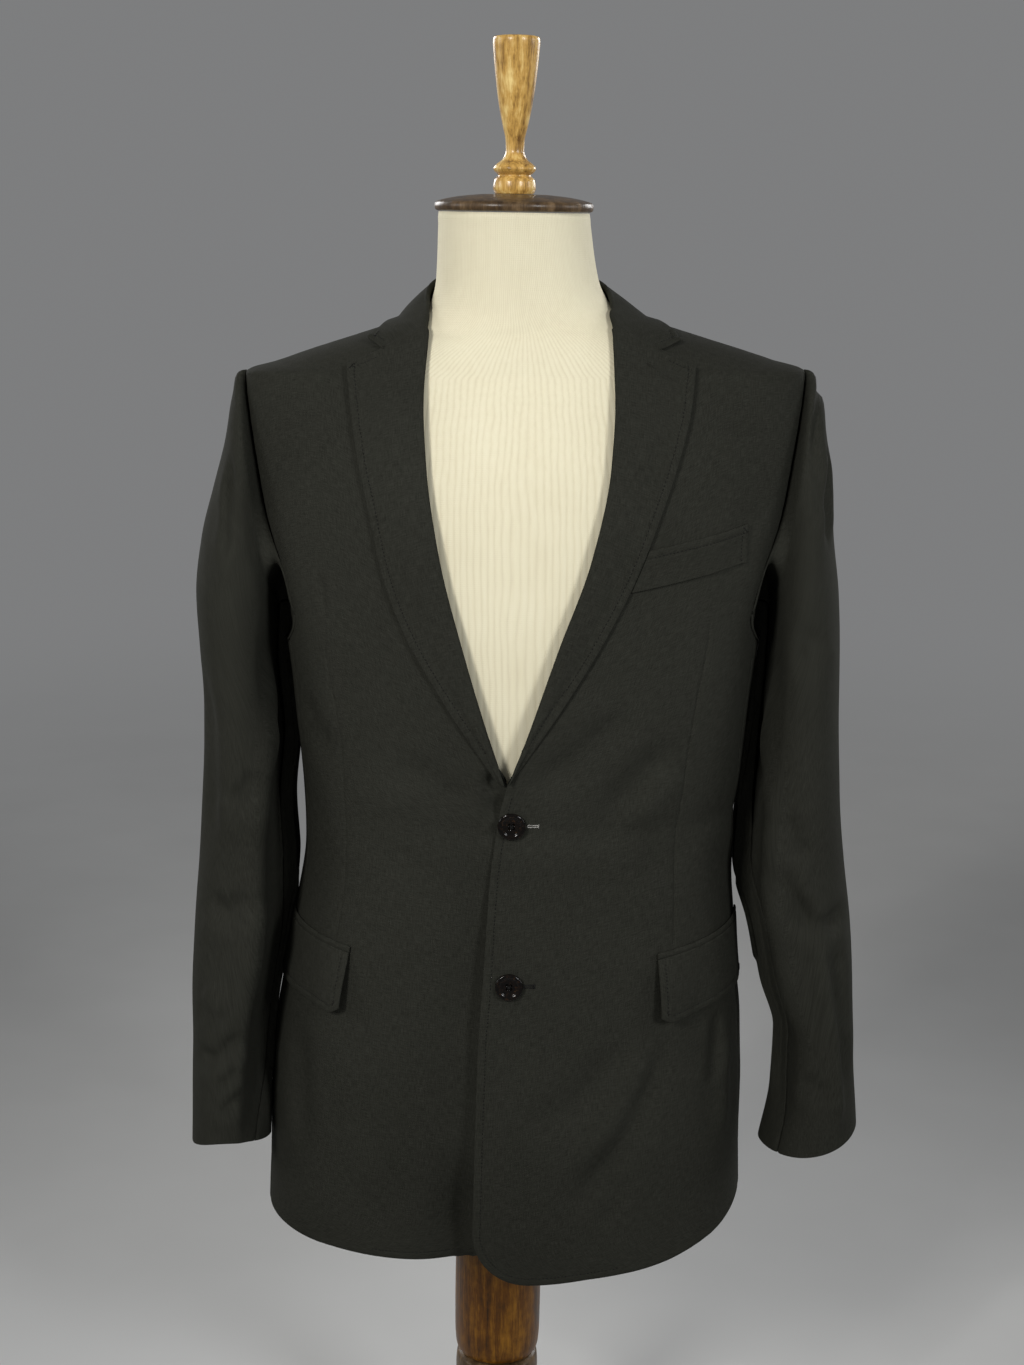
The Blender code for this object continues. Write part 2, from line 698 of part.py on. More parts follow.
def make_back(side):
    def ends(height):
        start = side_edge(height(SEAM_LOOK[1]), 1) + SEAM_ANGLE
        if height(0.0) >= SHOULDER_TIP_Z:
            start = SHOULDER_SEAM_ANGLE
        return start, 90.0 - BACK_SEAM_ANGLE

    rows = row_heights(side, HEM_ENDS, panel_levels(1))
    rows.append(lambda angle: neck_seam_z(angle) - BACK_BELOW_SEAM)
    return body_panel("back_" + side, side, rows, ends, BACK_COLUMNS, flush)


def make_side(side):
    def ends(height):
        start = seam_angle(height(SEAM_LOOK[0]), FRONT_SEAM) + SEAM_ANGLE
        return start, seam_angle(height(SEAM_LOOK[1]), BACK_SEAM) - SEAM_ANGLE

    rows = row_heights(side, HEM_ENDS, BODY_LEVELS)
    rows.append(lambda angle: mix(BODY_LEVELS[-1], underarm_height(angle), 0.5))
    rows.append(underarm_height)
    return body_panel("side_" + side, side, rows, ends, SIDE_COLUMNS, flush)


# ---- sleeves ---------------------------------------------------------------------------------


def armhole_point(angle, grow, lift):
    """A point over the armhole's edge, widened by grow. angle runs from the tip round the front."""
    turn = (angle + 180.0) % 360.0 - 180.0
    toward = -1 if turn > 0.0 else 1
    t = math.radians(turn)
    z = ARM_MIDDLE_Z + (ARM_HALF_HEIGHT + grow) * math.cos(t)
    reach = armhole_reach[toward](abs(turn)) + math.degrees(grow / ARM_RADIUS) * abs(math.sin(t))
    return surface(toward * reach, min(z, SHOULDER_TIP_Z + 0.6 * SLEEVE_HEAD_GROW), lift)


def sleeve_point(ring, angle):
    """A point of a sleeve ring; angle runs from its outer point round the front."""
    t = math.radians(angle)
    middle = Vector((0.5 * (ring.out_x + ring.in_x), ring.y, 0.5 * (ring.out_z + ring.in_z)))
    reach = Vector((0.5 * (ring.out_x - ring.in_x), 0.0, 0.5 * (ring.out_z - ring.in_z)))
    turn = math.sin(t)
    depth = ring.front if turn > 0.0 else ring.back
    along = -math.copysign(abs(turn) ** SLEEVE_CREASE, turn) * depth
    return middle + reach * math.cos(t) + Vector((0.0, along, 0.0))


def sleeve_grid(side, angles):
    """The sleeve's outer face, from the armhole to the hem."""
    grid = [[armhole_point(a, SLEEVE_HEAD_GROW, SLEEVE_HEAD_LIFT) for a in angles]]
    grid += [[sleeve_point(ring, a) for a in angles] for ring in SLEEVE_RINGS[side]]
    return grid


def make_sleeve_half(name, side, start, end, columns):
    angles = [mix(start, end, c / (columns - 1)) for c in range(columns)]
    outer = sleeve_grid(side, angles)
    before = sleeve_grid(side, [a - SLEEVE_LOOK for a in angles])
    after = sleeve_grid(side, [a + SLEEVE_LOOK for a in angles])
    inner = [[armhole_point(a, SLEEVE_HEAD_GROW - CLOTH, SLEEVE_HEAD_LIFT) for a in angles]]
    for r in range(1, len(outer)):
        line = []
        for c in range(columns):
            down = outer[min(r + 1, len(outer) - 1)][c] - outer[r - 1][c]
            normal = (after[r][c] - before[r][c]).cross(down).normalized()
            line.append(outer[r][c] - normal * CLOTH)
        inner.append(line)
    return wall(name, outer, inner, side, WOOL)


def make_sleeve(side):
    front = SLEEVE_FRONT_SEAM
    back = SLEEVE_BACK_SEAM
    gap = SLEEVE_SEAM_ANGLE
    make_sleeve_half("top_sleeve_" + side, side, back - 360.0 + gap, front - gap, TOP_SLEEVE_COLUMNS)
    make_sleeve_half("under_sleeve_" + side, side, front + gap, back - gap, UNDER_SLEEVE_COLUMNS)


# ---- lapels and collar -----------------------------------------------------------------------

LAPEL_ROWS = 15
LAPEL_COLUMNS = 5
NOTCH_SHARE = 0.5  # where the notch comes along the lapel's upper edge
NOTCH_FADES = (0.70, 1.0)  # the part of the lapel's length over which its rows bend up to the notch
LAPEL_ROLL = 0.0022  # how far the lapel swells over its roll
ROLL_START = 0.15  # the swell's place and spread across the lapel
ROLL_SPREAD = 1.3
ROLL_FADES_Z = (1.00, 1.06)
SHOULDER_CLEAR = 0.0013  # more clearance where the shoulder curves
SHOULDER_CLEAR_Z = (0.95, 1.03)
GORGE_GAP = Vector((0.0, 0.0012, 0.0012))  # from the lapel's upper edge to the collar's end


def lapel_point(side, x, z, share, thickness):
    """A point of the lapel: over the forepart, swelling a little over its roll."""
    across = min(1.0, ROLL_START + ROLL_SPREAD * share)
    swell = LAPEL_ROLL * math.sin(math.pi * across) * (1.0 - smooth_step(z, *ROLL_FADES_Z))
    clear = LAY + SHOULDER_CLEAR * smooth_step(z, *SHOULDER_CLEAR_Z)
    return front_surface(x, z, CLOTH + lap_lift(side, x, z) + clear + swell + thickness)


def lapel_share(r):
    """How far up the lapel a row lies; the rows are closer together toward the shoulder."""
    return 1.0 - (1.0 - r / (LAPEL_ROWS - 1)) ** 1.4


def lapel_outline(side):
    """Roll-line and outer-edge points of each row, from the break to the gorge."""
    edge = LAPEL_EDGE[side]
    outer_x = curve_through([e.z for e in edge], [e.x for e in edge])
    rows = []
    for r in range(LAPEL_ROWS):
        u = lapel_share(r)
        inner_z = mix(edge[0].z - 0.001, LAPEL_TOP_Z, u)
        outer_z = mix(edge[0].z, edge[-1].z, u)
        rows.append((Edge(roll_x[side](inner_z), inner_z), Edge(outer_x(outer_z), outer_z)))
    return rows


def make_lapel(side):
    rows = lapel_outline(side)
    outer = []
    inner = []
    for r, (roll, edge) in enumerate(rows):
        u = lapel_share(r)
        out_row = []
        in_row = []
        for c in range(LAPEL_COLUMNS):
            share = c / (LAPEL_COLUMNS - 1)
            x = mix(roll.x, edge.x, share)
            z = mix(roll.z, edge.z, share)
            bend = (1.0 - abs(share - NOTCH_SHARE) / NOTCH_SHARE) * smooth_step(u, *NOTCH_FADES)
            x += (NOTCH.x - mix(roll.x, edge.x, NOTCH_SHARE)) * bend
            z += (NOTCH.z - mix(roll.z, edge.z, NOTCH_SHARE)) * bend
            out_row.append(lapel_point(side, x, z, share, COLLAR_CLOTH))
            in_row.append(lapel_point(side, x, z, share, 0.0))
        outer.append(out_row)
        inner.append(in_row)
    return wall("lapel_" + side, outer, inner, side, WOOL)


COLLAR_ROWS = 10  # stations on each side of the centre back
FALL_COLUMNS = 6
FOLD_RADIUS = 0.0021
COLLAR_CLEAR = 0.0050  # the fall's outer face, at least this far from the body's surface
STAND_OVER_BACK = 0.0008  # the stand starts this far above the neck seam behind the shoulder seam
STAND_OVER_FRONT = 0.0022  # and before it
FALL_BULGE = 0.0025
GORGE_FADES = (0.66, 1.0)  # the part of the half collar that bends down to the notch


def ring_excess(point):
    """Negative inside the body's surface, positive outside it."""
    depth = back_depth(point.z) if point.y > 0.0 else front_depth(point.z)
    power = squareness(point.z)
    return (abs(point.x) / half_width(point.z)) ** power + (abs(point.y) / depth) ** power - 1.0


def pushed_clear(point, lift):
    """The point, moved out where it lies less than lift from the body's surface."""
    nudge = 0.0005
    point = point.copy()
    for _ in range(6):
        slope = Vector()
        for axis in range(3):
            step = Vector()
            step[axis] = nudge
            slope[axis] = (ring_excess(point + step) - ring_excess(point - step)) / (2.0 * nudge)
        distance = ring_excess(point) / slope.length
        if distance >= lift:
            break
        point += slope.normalized() * (lift - distance)
    return point


def collar_section(station, side, gorge_share):
    """The collar's face at one station: up the stand, over the fold and down the fall."""
    angle = station.angle + COLLAR_END_SHIFT[side] * gorge_share
    rise = STAND_OVER_BACK if angle > 0.0 else STAND_OVER_FRONT
    seam_z = min(neck_seam_z(angle) + rise, station.fold_z - 2.2 * FOLD_RADIUS)
    line = [
        surface(angle, seam_z),
        surface(angle, station.fold_z - FOLD_RADIUS),
        surface(angle, station.fold_z, FOLD_RADIUS),
    ]
    start = surface(angle, station.fold_z - FOLD_RADIUS, 2.0 * FOLD_RADIUS)
    line.append(start)
    edge = Vector((station.edge_x, station.edge_y, shoulder_height(station.edge_x, station.edge_y)))
    notch = front_surface(NOTCH.x, NOTCH.z, COLLAR_CLEAR) + GORGE_GAP
    for c in range(1, FALL_COLUMNS + 1):
        u = c / FALL_COLUMNS
        peak = gorge_share * (1.0 - abs(2.0 * u - 1.0))
        point = start.lerp(edge, u) + (notch - start.lerp(edge, 0.5)) * peak
        point.z += FALL_BULGE * math.sin(math.pi * u) * (1.0 - gorge_share)
        line.append(pushed_clear(point, COLLAR_CLEAR))
    return line


def collar_stations():
    """Stations of the half collar from the gorge to the centre back."""
    keys = [float(i) for i in range(len(COLLAR_STATIONS))]
    fields = CollarStation._fields
    curves = {name: curve_through(keys, [getattr(s, name) for s in COLLAR_STATIONS]) for name in fields}
    stations = []
    for r in range(COLLAR_ROWS):
        share = 1.0 - r / (COLLAR_ROWS - 1)
        stations.append((CollarStation(**{name: curves[name](keys[-1] * share) for name in fields}), share))
    return stations


def make_collar():
    outer = []
    for side, stations in (("left", collar_stations()), ("right", list(reversed(collar_stations()[:-1])))):
        for station, share in stations:
            line = collar_section(station, side, smooth_step(share, *GORGE_FADES))
            outer.append([mirrored(point, side) for point in line])
    return wall("collar", outer, inner_grid(outer, COLLAR_CLOTH), "left", WOOL)


# ---- pockets and buttons ---------------------------------------------------------------------


def panel_patch(name, side, corners, rows, columns, low, thickness):
    """A thin piece that lies on a forepart. corners(u, v) gives the ring angle and height of its points."""
    outer = []
    inner = []
    for r in range(rows):
        out_row = []
        in_row = []
        for c in range(columns):
            angle, z = corners(c / (columns - 1), r / (rows - 1))
            x = ring_point(angle, z).x
            under = CLOTH + lap_lift(side, x, z) + low
            out_row.append(surface(angle, z, under + thickness))
            in_row.append(surface(angle, z, under))
        outer.append(out_row)
        inner.append(in_row)
    return wall(name, outer, inner, side, WOOL)


def flap_top(side, u):
    """Ring angle and height along the flap's top edge, u from its front to its back end."""
    front = angle_at(FLAP_FRONT[side], FLAP_TOP_Z)
    return mix(front, FLAP_BACK_ANGLE, u), FLAP_TOP_Z + FLAP_SLANT * u


def make_flap(side):
    def corners(u, v):
        angle, top = flap_top(side, u)
        lean = FLAP_LEAN * (1.0 - v) * (1.0 - u)
        return angle + lean, top - FLAP_DEPTH * (1.0 - v)

    return panel_patch("flap_" + side, side, corners, 5, 8, LAY, CLOTH)


def make_jet(side):
    def corners(u, v):
        angle, top = flap_top(side, u)
        return angle, top + JET_GAP + JET_HEIGHT * v

    return panel_patch("jet_" + side, side, corners, 2, 8, LAY, POCKET_CLOTH)


def make_welt():
    middle_x = 0.5 * (WELT_LOW_X + WELT_HIGH_X)

    def corners(u, v):
        x = mix(WELT_LOW_X, WELT_HIGH_X, u)
        z = WELT_Z + WELT_SLOPE * (x - middle_x) + WELT_HEIGHT * v
        return angle_at(x + WELT_LEAN * v, z), z

    return panel_patch("breast_welt", "left", corners, 3, 8, LAY, POCKET_CLOTH)


def make_button(name):
    """A four-hole button with a raised rim and a sunk middle, its back on the left forepart."""
    place = BUTTONS[name]
    lift = CLOTH + LAP_LIFT + BUTTON_CLEAR
    seat = worn(front_surface(place.x, place.z, lift))
    above = worn(front_surface(place.x, place.z, lift + BUTTON_RADIUS))
    outward = (above - seat).normalized()
    profile = [Turn(turn.radius * BUTTON_RADIUS, turn.z * BUTTON_HEIGHT) for turn in BUTTON_PROFILE]
    turn = Vector((0.0, 0.0, 1.0)).rotation_difference(outward)
    solid = turned(name, profile, HORN, sides=24)
    holes = turned_holes(name + "_holes")
    for item in (solid, holes):
        item.rotation_mode = "QUATERNION"
        item.rotation_quaternion = turn
        item.location = seat
    cut = solid.modifiers.new("holes", "BOOLEAN")
    cut.operation = "DIFFERENCE"
    cut.object = holes
    return solid


def turned_holes(name):
    """The cutter for a button's four thread holes."""
    shape = bmesh.new()
    for quarter in range(4):
        a = math.radians(45.0 + 90.0 * quarter)
        reach = BUTTON_HOLE_SPREAD
        place = Vector((reach * math.cos(a), reach * math.sin(a), 0.5 * BUTTON_HEIGHT))
        bmesh.ops.create_cone(
            shape,
            cap_ends=True,
            segments=8,
            radius1=BUTTON_HOLE_RADIUS,
            radius2=BUTTON_HOLE_RADIUS,
            depth=2.0 * BUTTON_HEIGHT,
            matrix=Matrix.Translation(place),
        )
    mesh = bpy.data.meshes.new(name)
    shape.to_mesh(mesh)
    shape.free()
    cutter = bpy.data.objects.new(name, mesh)
    cutter.hide_render = True
    cutter.display_type = "WIRE"
    bpy.context.scene.collection.objects.link(cutter)
    return cutter


# ---- dress form and stand --------------------------------------------------------------------

FORM_SIDES = 32
FORM_LEVELS = (FORM_BOTTOM_Z, 0.460, 0.520, 0.590, 0.650, 0.710, 0.770, 0.820, 0.870) + ARM_LEVELS[1:]
FORM_LEVELS += SHOULDER_LEVELS + (1.096, 1.106, 1.120, 1.145, CAP_Z - SEAM)


def make_form():
    levels = FORM_LEVELS
    sides = FORM_SIDES
    points = []
    for z in levels:
        for s in range(sides):
            angle = -180.0 + 360.0 * s / sides
            point = worn(surface(angle, z, -form_inset(z)))
            if z in (levels[0], levels[-1]):
                point.z = z
            points.append(point)
    faces = [tuple(range(sides - 1, -1, -1))]
    for r in range(len(levels) - 1):
        for s in range(sides):
            n = (s + 1) % sides
            faces.append((r * sides + s, r * sides + n, (r + 1) * sides + n, (r + 1) * sides + s))
    faces.append(tuple(range((len(levels) - 1) * sides, len(levels) * sides)))
    return add_solid("dress_form", points, faces, JERSEY)


def make_stand():
    turned("neck_cap", NECK_CAP, DARK_WOOD)
    turned("finial", FINIAL, HONEY_WOOD, sides=24)
    turned("post", POST, HONEY_WOOD)
    turned("post_ring", POST_RING, DARK_WOOD)
    turned("post_lower", POST_LOWER, HONEY_WOOD)
    turned("base", BASE, HONEY_WOOD, sides=48)


# ---- build -----------------------------------------------------------------------------------


def main():
    for old in list(bpy.data.objects):
        bpy.data.objects.remove(old, do_unlink=True)
    for side in ("left", "right"):
        make_front(side)
        make_side(side)
        make_back(side)
        make_sleeve(side)
        make_lapel(side)
        make_flap(side)
        make_jet(side)
    make_collar()
    make_welt()
    for name in BUTTONS:
        make_button(name)
    make_form()
    make_stand()


main()
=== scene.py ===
"""Looks of the single-breasted blazer on its limbless dress form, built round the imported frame.

Metres, +Z up, the front faces -Y and the wearer's left is +X. The garment is drawn in its own
symmetrical space, addressed by ring angle (0 at the side, -90 at the centre front, +90 at the
centre back) and height; worn() then puts each point where the jacket hangs.
"""

import math

from collections import namedtuple

import bpy
import numpy as np
from mathutils import Matrix, Vector
from mathutils.kdtree import KDTree


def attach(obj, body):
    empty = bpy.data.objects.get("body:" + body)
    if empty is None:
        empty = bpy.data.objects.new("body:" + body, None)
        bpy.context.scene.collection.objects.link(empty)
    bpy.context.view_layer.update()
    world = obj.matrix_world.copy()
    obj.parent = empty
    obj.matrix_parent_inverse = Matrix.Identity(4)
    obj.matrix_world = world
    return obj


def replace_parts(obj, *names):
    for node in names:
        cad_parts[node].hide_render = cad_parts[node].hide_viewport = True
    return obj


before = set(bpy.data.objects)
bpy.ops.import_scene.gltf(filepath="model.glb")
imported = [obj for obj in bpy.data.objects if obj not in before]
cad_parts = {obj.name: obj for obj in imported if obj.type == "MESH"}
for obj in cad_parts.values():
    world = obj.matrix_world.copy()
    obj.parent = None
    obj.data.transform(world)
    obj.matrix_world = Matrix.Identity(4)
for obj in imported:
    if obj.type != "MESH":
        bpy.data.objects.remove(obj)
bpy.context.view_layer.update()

# ---- sizes, most of them as in the part's source ---------------------------------------------

SIDES = ("left", "right")
CLOTH = 0.002  # wall of the body panels and sleeves
COLLAR_CLOTH = 0.0016
LAY = 0.001  # how far a piece stands off the one it lies on
HEM_Z = 0.319
UNDERARM_Z = 0.832
BREAK_Z = 0.738
GORGE_Z = 1.0805
LAPEL_TOP_Z = 1.083
SHOULDER_TIP_Z = 1.047
NECK_SEAM_SIDE_Z = 1.0955
NECK_SEAM_BACK_Z = 1.098
CAP_Z = 1.172
LAP_LIFT = 0.0029  # of the left forepart over the right one
LAP_FADES_X = (0.03, 0.075)
LAP_FADES_Z = (0.76, 0.86)
UNDER_LAP_SHORT = 0.004
HEM_CORNER = 0.046
HEM_FADES_Z = (0.365, 0.51)

# z, half width, front depth, back depth, squareness
BODY_RINGS = (
    (0.3, 0.2035, 0.14, 0.128, 2.3), (0.41, 0.201, 0.138, 0.129, 2.3),
    (0.51, 0.195, 0.133, 0.125, 2.3), (0.585, 0.1855, 0.127, 0.113, 2.3),
    (0.66, 0.1768, 0.121, 0.102, 2.25), (0.74, 0.182, 0.124, 0.106, 2.25),
    (0.8, 0.187, 0.128, 0.114, 2.3), (0.86, 0.196, 0.13, 0.122, 2.35),
    (0.92, 0.208, 0.127, 0.127, 2.3), (0.97, 0.2165, 0.118, 0.125, 2.2),
    (1.01, 0.2215, 0.105, 0.116, 2.1), (1.035, 0.223, 0.092, 0.102, 2.02),
    (1.047, 0.2222, 0.084, 0.092, 2.0), (1.054, 0.2, 0.0815, 0.088, 2.0),
    (1.062, 0.176, 0.0785, 0.085, 2.0), (1.0705, 0.149, 0.0755, 0.081, 2.0),
    (1.078, 0.125, 0.0725, 0.077, 2.0), (1.0845, 0.104, 0.07, 0.073, 2.0),
    (1.092, 0.086, 0.0675, 0.07, 2.0), (1.101, 0.074, 0.0655, 0.067, 2.0),
    (1.12, 0.0665, 0.0635, 0.0645, 2.0), (1.172, 0.061, 0.0605, 0.0605, 2.0),
)
# z, how far the jacket hangs over to the wearer's left
OFFSETS = ((0.33, 0.004), (0.51, 0.005), (0.585, 0.0085), (0.66, 0.0115), (0.74, 0.013),
           (0.9, 0.012), (1.078, 0.0105), (1.1, 0.006), (1.125, 0.003), (1.17, 0.0))
TILT = 0.0157  # rise for each metre to the wearer's left
TILT_FADES = (1.08, 1.15)
# z, left, right: distance from the centre front
ROLL_LINE = (
    (0.73, -0.014, 0.0105), (0.738, -0.0107, 0.0128), (0.787, 0.0064, 0.0286),
    (0.848, 0.027, 0.0463), (0.916, 0.0512, 0.0637), (0.983, 0.065, 0.0742),
    (1.032, 0.0677, 0.077), (1.0805, 0.066, 0.0734),
)
# the rest are distances from the centre front, and heights
LAPEL_EDGE = {
    "left": ((-0.0085, 0.742), (0.0342, 0.8083), (0.0612, 0.8538), (0.0835, 0.898),
             (0.1022, 0.9466), (0.1156, 0.986), (0.1252, 1.0228), (0.1295, 1.052)),
    "right": ((0.0185, 0.74), (0.065, 0.8131), (0.0899, 0.8584), (0.106, 0.9003),
              (0.1169, 0.9489), (0.126, 0.988), (0.1324, 1.0264), (0.1362, 1.0535)),
}
NOTCH = {"left": (0.1025, 1.0655), "right": (0.1087, 1.066)}
COLLAR_TIP = {"left": (-37.3, 1.0705), "right": (-33.2, 1.072)}  # ring angle, height
FRONT_EDGE = ((-0.025, 0.3), (-0.0238, 0.44), (-0.0227, 0.563), (-0.0221, 0.645),
              (-0.0164, 0.712), (-0.0107, 0.738))
# ring angle, left, right: height of the hem above its lowest point
HEM_RISE = ((-100.0, 0.0, 0.019), (-80.0, 0.001, 0.018), (-60.0, 0.004, 0.018),
            (-35.0, 0.016, 0.018), (0.0, 0.034, 0.019), (45.0, 0.034, 0.024), (90.0, 0.029, 0.029))
FRONT_SEAM = (-9.0, -15.0)
BACK_SEAM = (34.0, 26.0)
# degrees down from the armhole's top, its ring angle toward the front, toward the back
ARMHOLE = ((0.0, 0.0, 0.0), (30.0, 8.0, 10.0), (60.0, 13.0, 20.0), (90.0, 16.5, 27.0),
           (118.0, 23.5, 30.0), (138.0, 24.5, 27.5), (160.0, 15.5, 16.0), (180.0, 0.0, 0.0))
# outer x, z, inner x, z, y, from the head down
SLEEVE_RINGS = {
    "left": (
        (0.231, 1.044, 0.1955, 0.829, 0.0), (0.2385, 1.026, 0.1955, 0.826, 0.0),
        (0.244, 0.995, 0.1948, 0.82, 0.0), (0.2485, 0.956, 0.1938, 0.813, -0.001),
        (0.252, 0.916, 0.1926, 0.806, -0.002), (0.258, 0.87, 0.1912, 0.796, -0.003),
        (0.261, 0.824, 0.1893, 0.78, -0.004), (0.262, 0.77, 0.1867, 0.75, -0.006),
        (0.266, 0.705, 0.1832, 0.7, -0.009), (0.274, 0.645, 0.182, 0.645, -0.012),
        (0.2832, 0.59, 0.198, 0.59, -0.0165), (0.2895, 0.54, 0.212, 0.54, -0.022),
        (0.2935, 0.495, 0.2265, 0.495, -0.027), (0.2962, 0.455, 0.2255, 0.448, -0.033),
        (0.2988, 0.418, 0.2165, 0.402, -0.038),
    ),
    "right": (
        (0.231, 1.044, 0.1955, 0.829, 0.0), (0.2365, 1.026, 0.1955, 0.826, 0.0),
        (0.242, 0.995, 0.1948, 0.82, 0.0), (0.252, 0.956, 0.1938, 0.813, -0.001),
        (0.2622, 0.916, 0.1926, 0.806, -0.002), (0.2678, 0.87, 0.1912, 0.796, -0.003),
        (0.266, 0.824, 0.1893, 0.78, -0.004), (0.2625, 0.77, 0.1867, 0.75, -0.006),
        (0.264, 0.705, 0.1905, 0.7, -0.009), (0.267, 0.645, 0.1858, 0.645, -0.014),
        (0.268, 0.59, 0.1835, 0.59, -0.0205), (0.2672, 0.54, 0.1888, 0.54, -0.027),
        (0.2664, 0.495, 0.1932, 0.495, -0.033), (0.2658, 0.455, 0.1957, 0.455, -0.039),
        (0.2653, 0.405, 0.199, 0.4085, -0.044),
    ),
}
# how far each ring reaches to the front and to the back of its y
SLEEVE_REACH = (
    (0.057, 0.064), (0.063, 0.069), (0.068, 0.072), (0.071, 0.074), (0.073, 0.074),
    (0.073, 0.074), (0.072, 0.073), (0.071, 0.071), (0.07, 0.069), (0.068, 0.067),
    (0.065, 0.064), (0.062, 0.061), (0.06, 0.059), (0.058, 0.057), (0.056, 0.055),
)
SLEEVE_SEAMS = (136.0, 238.0)
SLEEVE_HEAD_LIFT = 0.0024
SLEEVE_HEAD_GROW = 0.0004
ARM_RADIUS = 0.22
SLEEVE_CREASE = 1.25  # 1 is an oval sleeve, more draws its front and back out to a crease
# where the sleeve folds in beside the body: angles from its outer line, and rings down from the head
TUCK_START = (108.0, 117.0)  # at the armhole, on the arm
TUCK_SPAN = (12.0, 19.0)
TUCK_TURN = {"left": 8.0, "right": -8.0}  # further round at the elbow
TUCK_ENDS = (178.0, 204.0)
TUCK_TOP = -0.99
TUCK_FADES = {"left": (12.4, 13.8), "right": (12.8, 14.2)}
TUCK_SIDE = 0.004
TUCK_CLEAR = 0.0026
TUCK_INSIDE = -0.004
SLEEVE_CLEAR = 0.0045  # of the body, from this ring down:
SLEEVE_FREE_RING = 6.0
CUFF_RAISE = 0.017  # of the right sleeve's front at its hem
CUFF_RAISE_RINGS = (11.5, 14.0)
# ring angle, height of the fold, plan place of the outer edge
COLLAR_STATIONS = (
    (90.0, 1.128, 0.0, 0.081), (66.0, 1.1275, 0.04, 0.0765), (42.0, 1.1255, 0.076, 0.061),
    (20.0, 1.119, 0.097, 0.037), (2.0, 1.113, 0.1045, 0.012), (-13.0, 1.105, 0.108, -0.006),
    (-26.0, 1.097, 0.1115, -0.018), (-36.0, 1.0932, 0.1155, -0.029),
    (-43.5, 1.09, 0.119, -0.04),
)
COLLAR_END_SHIFT = {"left": -4.5, "right": 4.5}
FORM_BOTTOM_Z = 0.42
# z, how far the form lies within the body's rings
FORM_INSETS = (
    (0.42, 0.02), (0.51, 0.016), (0.6, 0.012), (0.7, 0.009), (0.84, 0.008),
    (0.92, 0.007), (0.98, 0.004), (1.03, 0.0034), (1.047, 0.002), (1.062, 0.0013),
    (1.078, 0.0018), (1.092, 0.002), (1.172, 0.0016),
)


# ---- curves through the tables ---------------------------------------------------------------


def curve_through(xs, ys):
    """A smooth curve through the points that never overshoots them."""
    xs = np.asarray(xs, float)
    ys = np.asarray(ys, float)
    gaps = np.diff(xs)
    slopes = np.diff(ys) / gaps
    product = slopes[:-1] * slopes[1:]
    total = slopes[:-1] + slopes[1:]
    middle = np.where(product > 0.0, 2.0 * product / np.where(total == 0.0, 1.0, total), 0.0)
    tangents = np.concatenate([slopes[:1], middle, slopes[-1:]])

    def value(x):
        x = np.clip(x, xs[0], xs[-1])
        i = np.clip(np.searchsorted(xs, x, side="right") - 1, 0, len(gaps) - 1)
        u = (x - xs[i]) / gaps[i]
        rise = ys[i + 1] - ys[i]
        start = gaps[i] * tangents[i]
        end = gaps[i] * tangents[i + 1]
        return ys[i] + eased(u, rise, start, end)

    return value


def eased(u, rise, start, end):
    """A cubic from 0 to rise over u from 0 to 1, with these slopes at its ends."""
    return u * start + u * u * (3.0 * rise - 2.0 * start - end) + u**3 * (start + end - 2.0 * rise)


def column(rows, value, key=0):
    return curve_through([r[key] for r in rows], [r[value] for r in rows])


def run_along(path):
    """Distance of each point of a path from its start."""
    return np.concatenate([[0.0], np.cumsum(np.linalg.norm(np.diff(path, axis=0), axis=1))])


def points_at(spots, run, path):
    """Points at these distances along a path."""
    return np.stack([np.interp(spots, run, path[:, k]) for k in range(path.shape[1])], axis=-1)


def fields(rows):
    """A curve through each column of a table, by the number of the row."""
    keys = np.arange(len(rows), dtype=float)
    return [curve_through(keys, values) for values in zip(*rows)]


def smooth_step(x, start, end):
    u = np.clip((x - start) / (end - start), 0.0, 1.0)
    return u * u * (3.0 - 2.0 * u)


def mix(a, b, u):
    return a + (b - a) * u


def bell(x, width):
    """1 at 0, falling off evenly on both sides."""
    return np.exp(-((x / width) ** 2))


half_width, front_depth, back_depth, squareness = (column(BODY_RINGS, k) for k in (1, 2, 3, 4))
offset_at = column(OFFSETS, 1)
roll_x = {side: column(ROLL_LINE, k + 1) for k, side in enumerate(SIDES)}
hem_rise = {side: column(HEM_RISE, k + 1) for k, side in enumerate(SIDES)}
front_edge_x = column(FRONT_EDGE, 0, key=1)
form_inset = column(FORM_INSETS, 1)
armhole_reach = {-1: column(ARMHOLE, 1), 1: column(ARMHOLE, 2)}  # toward the front, toward the back
WIDEST_TURN = {-1: 138.0, 1: 118.0}
ARM_MIDDLE_Z = 0.5 * (SHOULDER_TIP_Z + UNDERARM_Z)
ARM_HALF_HEIGHT = 0.5 * (SHOULDER_TIP_Z - UNDERARM_Z)


# ---- the body's surface ----------------------------------------------------------------------


def unit(v):
    return v / np.maximum(np.linalg.norm(v, axis=-1, keepdims=True), 1e-12)


def ring_point(angle, z):
    """A point of the body's surface at a ring angle and height."""
    t = np.radians(angle)
    power = 2.0 / squareness(z)
    across = np.sign(np.cos(t)) * np.abs(np.cos(t)) ** power
    along = np.sign(np.sin(t)) * np.abs(np.sin(t)) ** power
    depth = np.where(along > 0.0, back_depth(z), front_depth(z))
    return np.stack(np.broadcast_arrays(half_width(z) * across, depth * along, z), axis=-1)


def surface_normal(angle, z):
    turn, rise = 0.8, 0.0008
    around = ring_point(angle + turn, z) - ring_point(angle - turn, z)
    up = ring_point(angle, z + rise) - ring_point(angle, z - rise)
    return unit(np.cross(around, up))


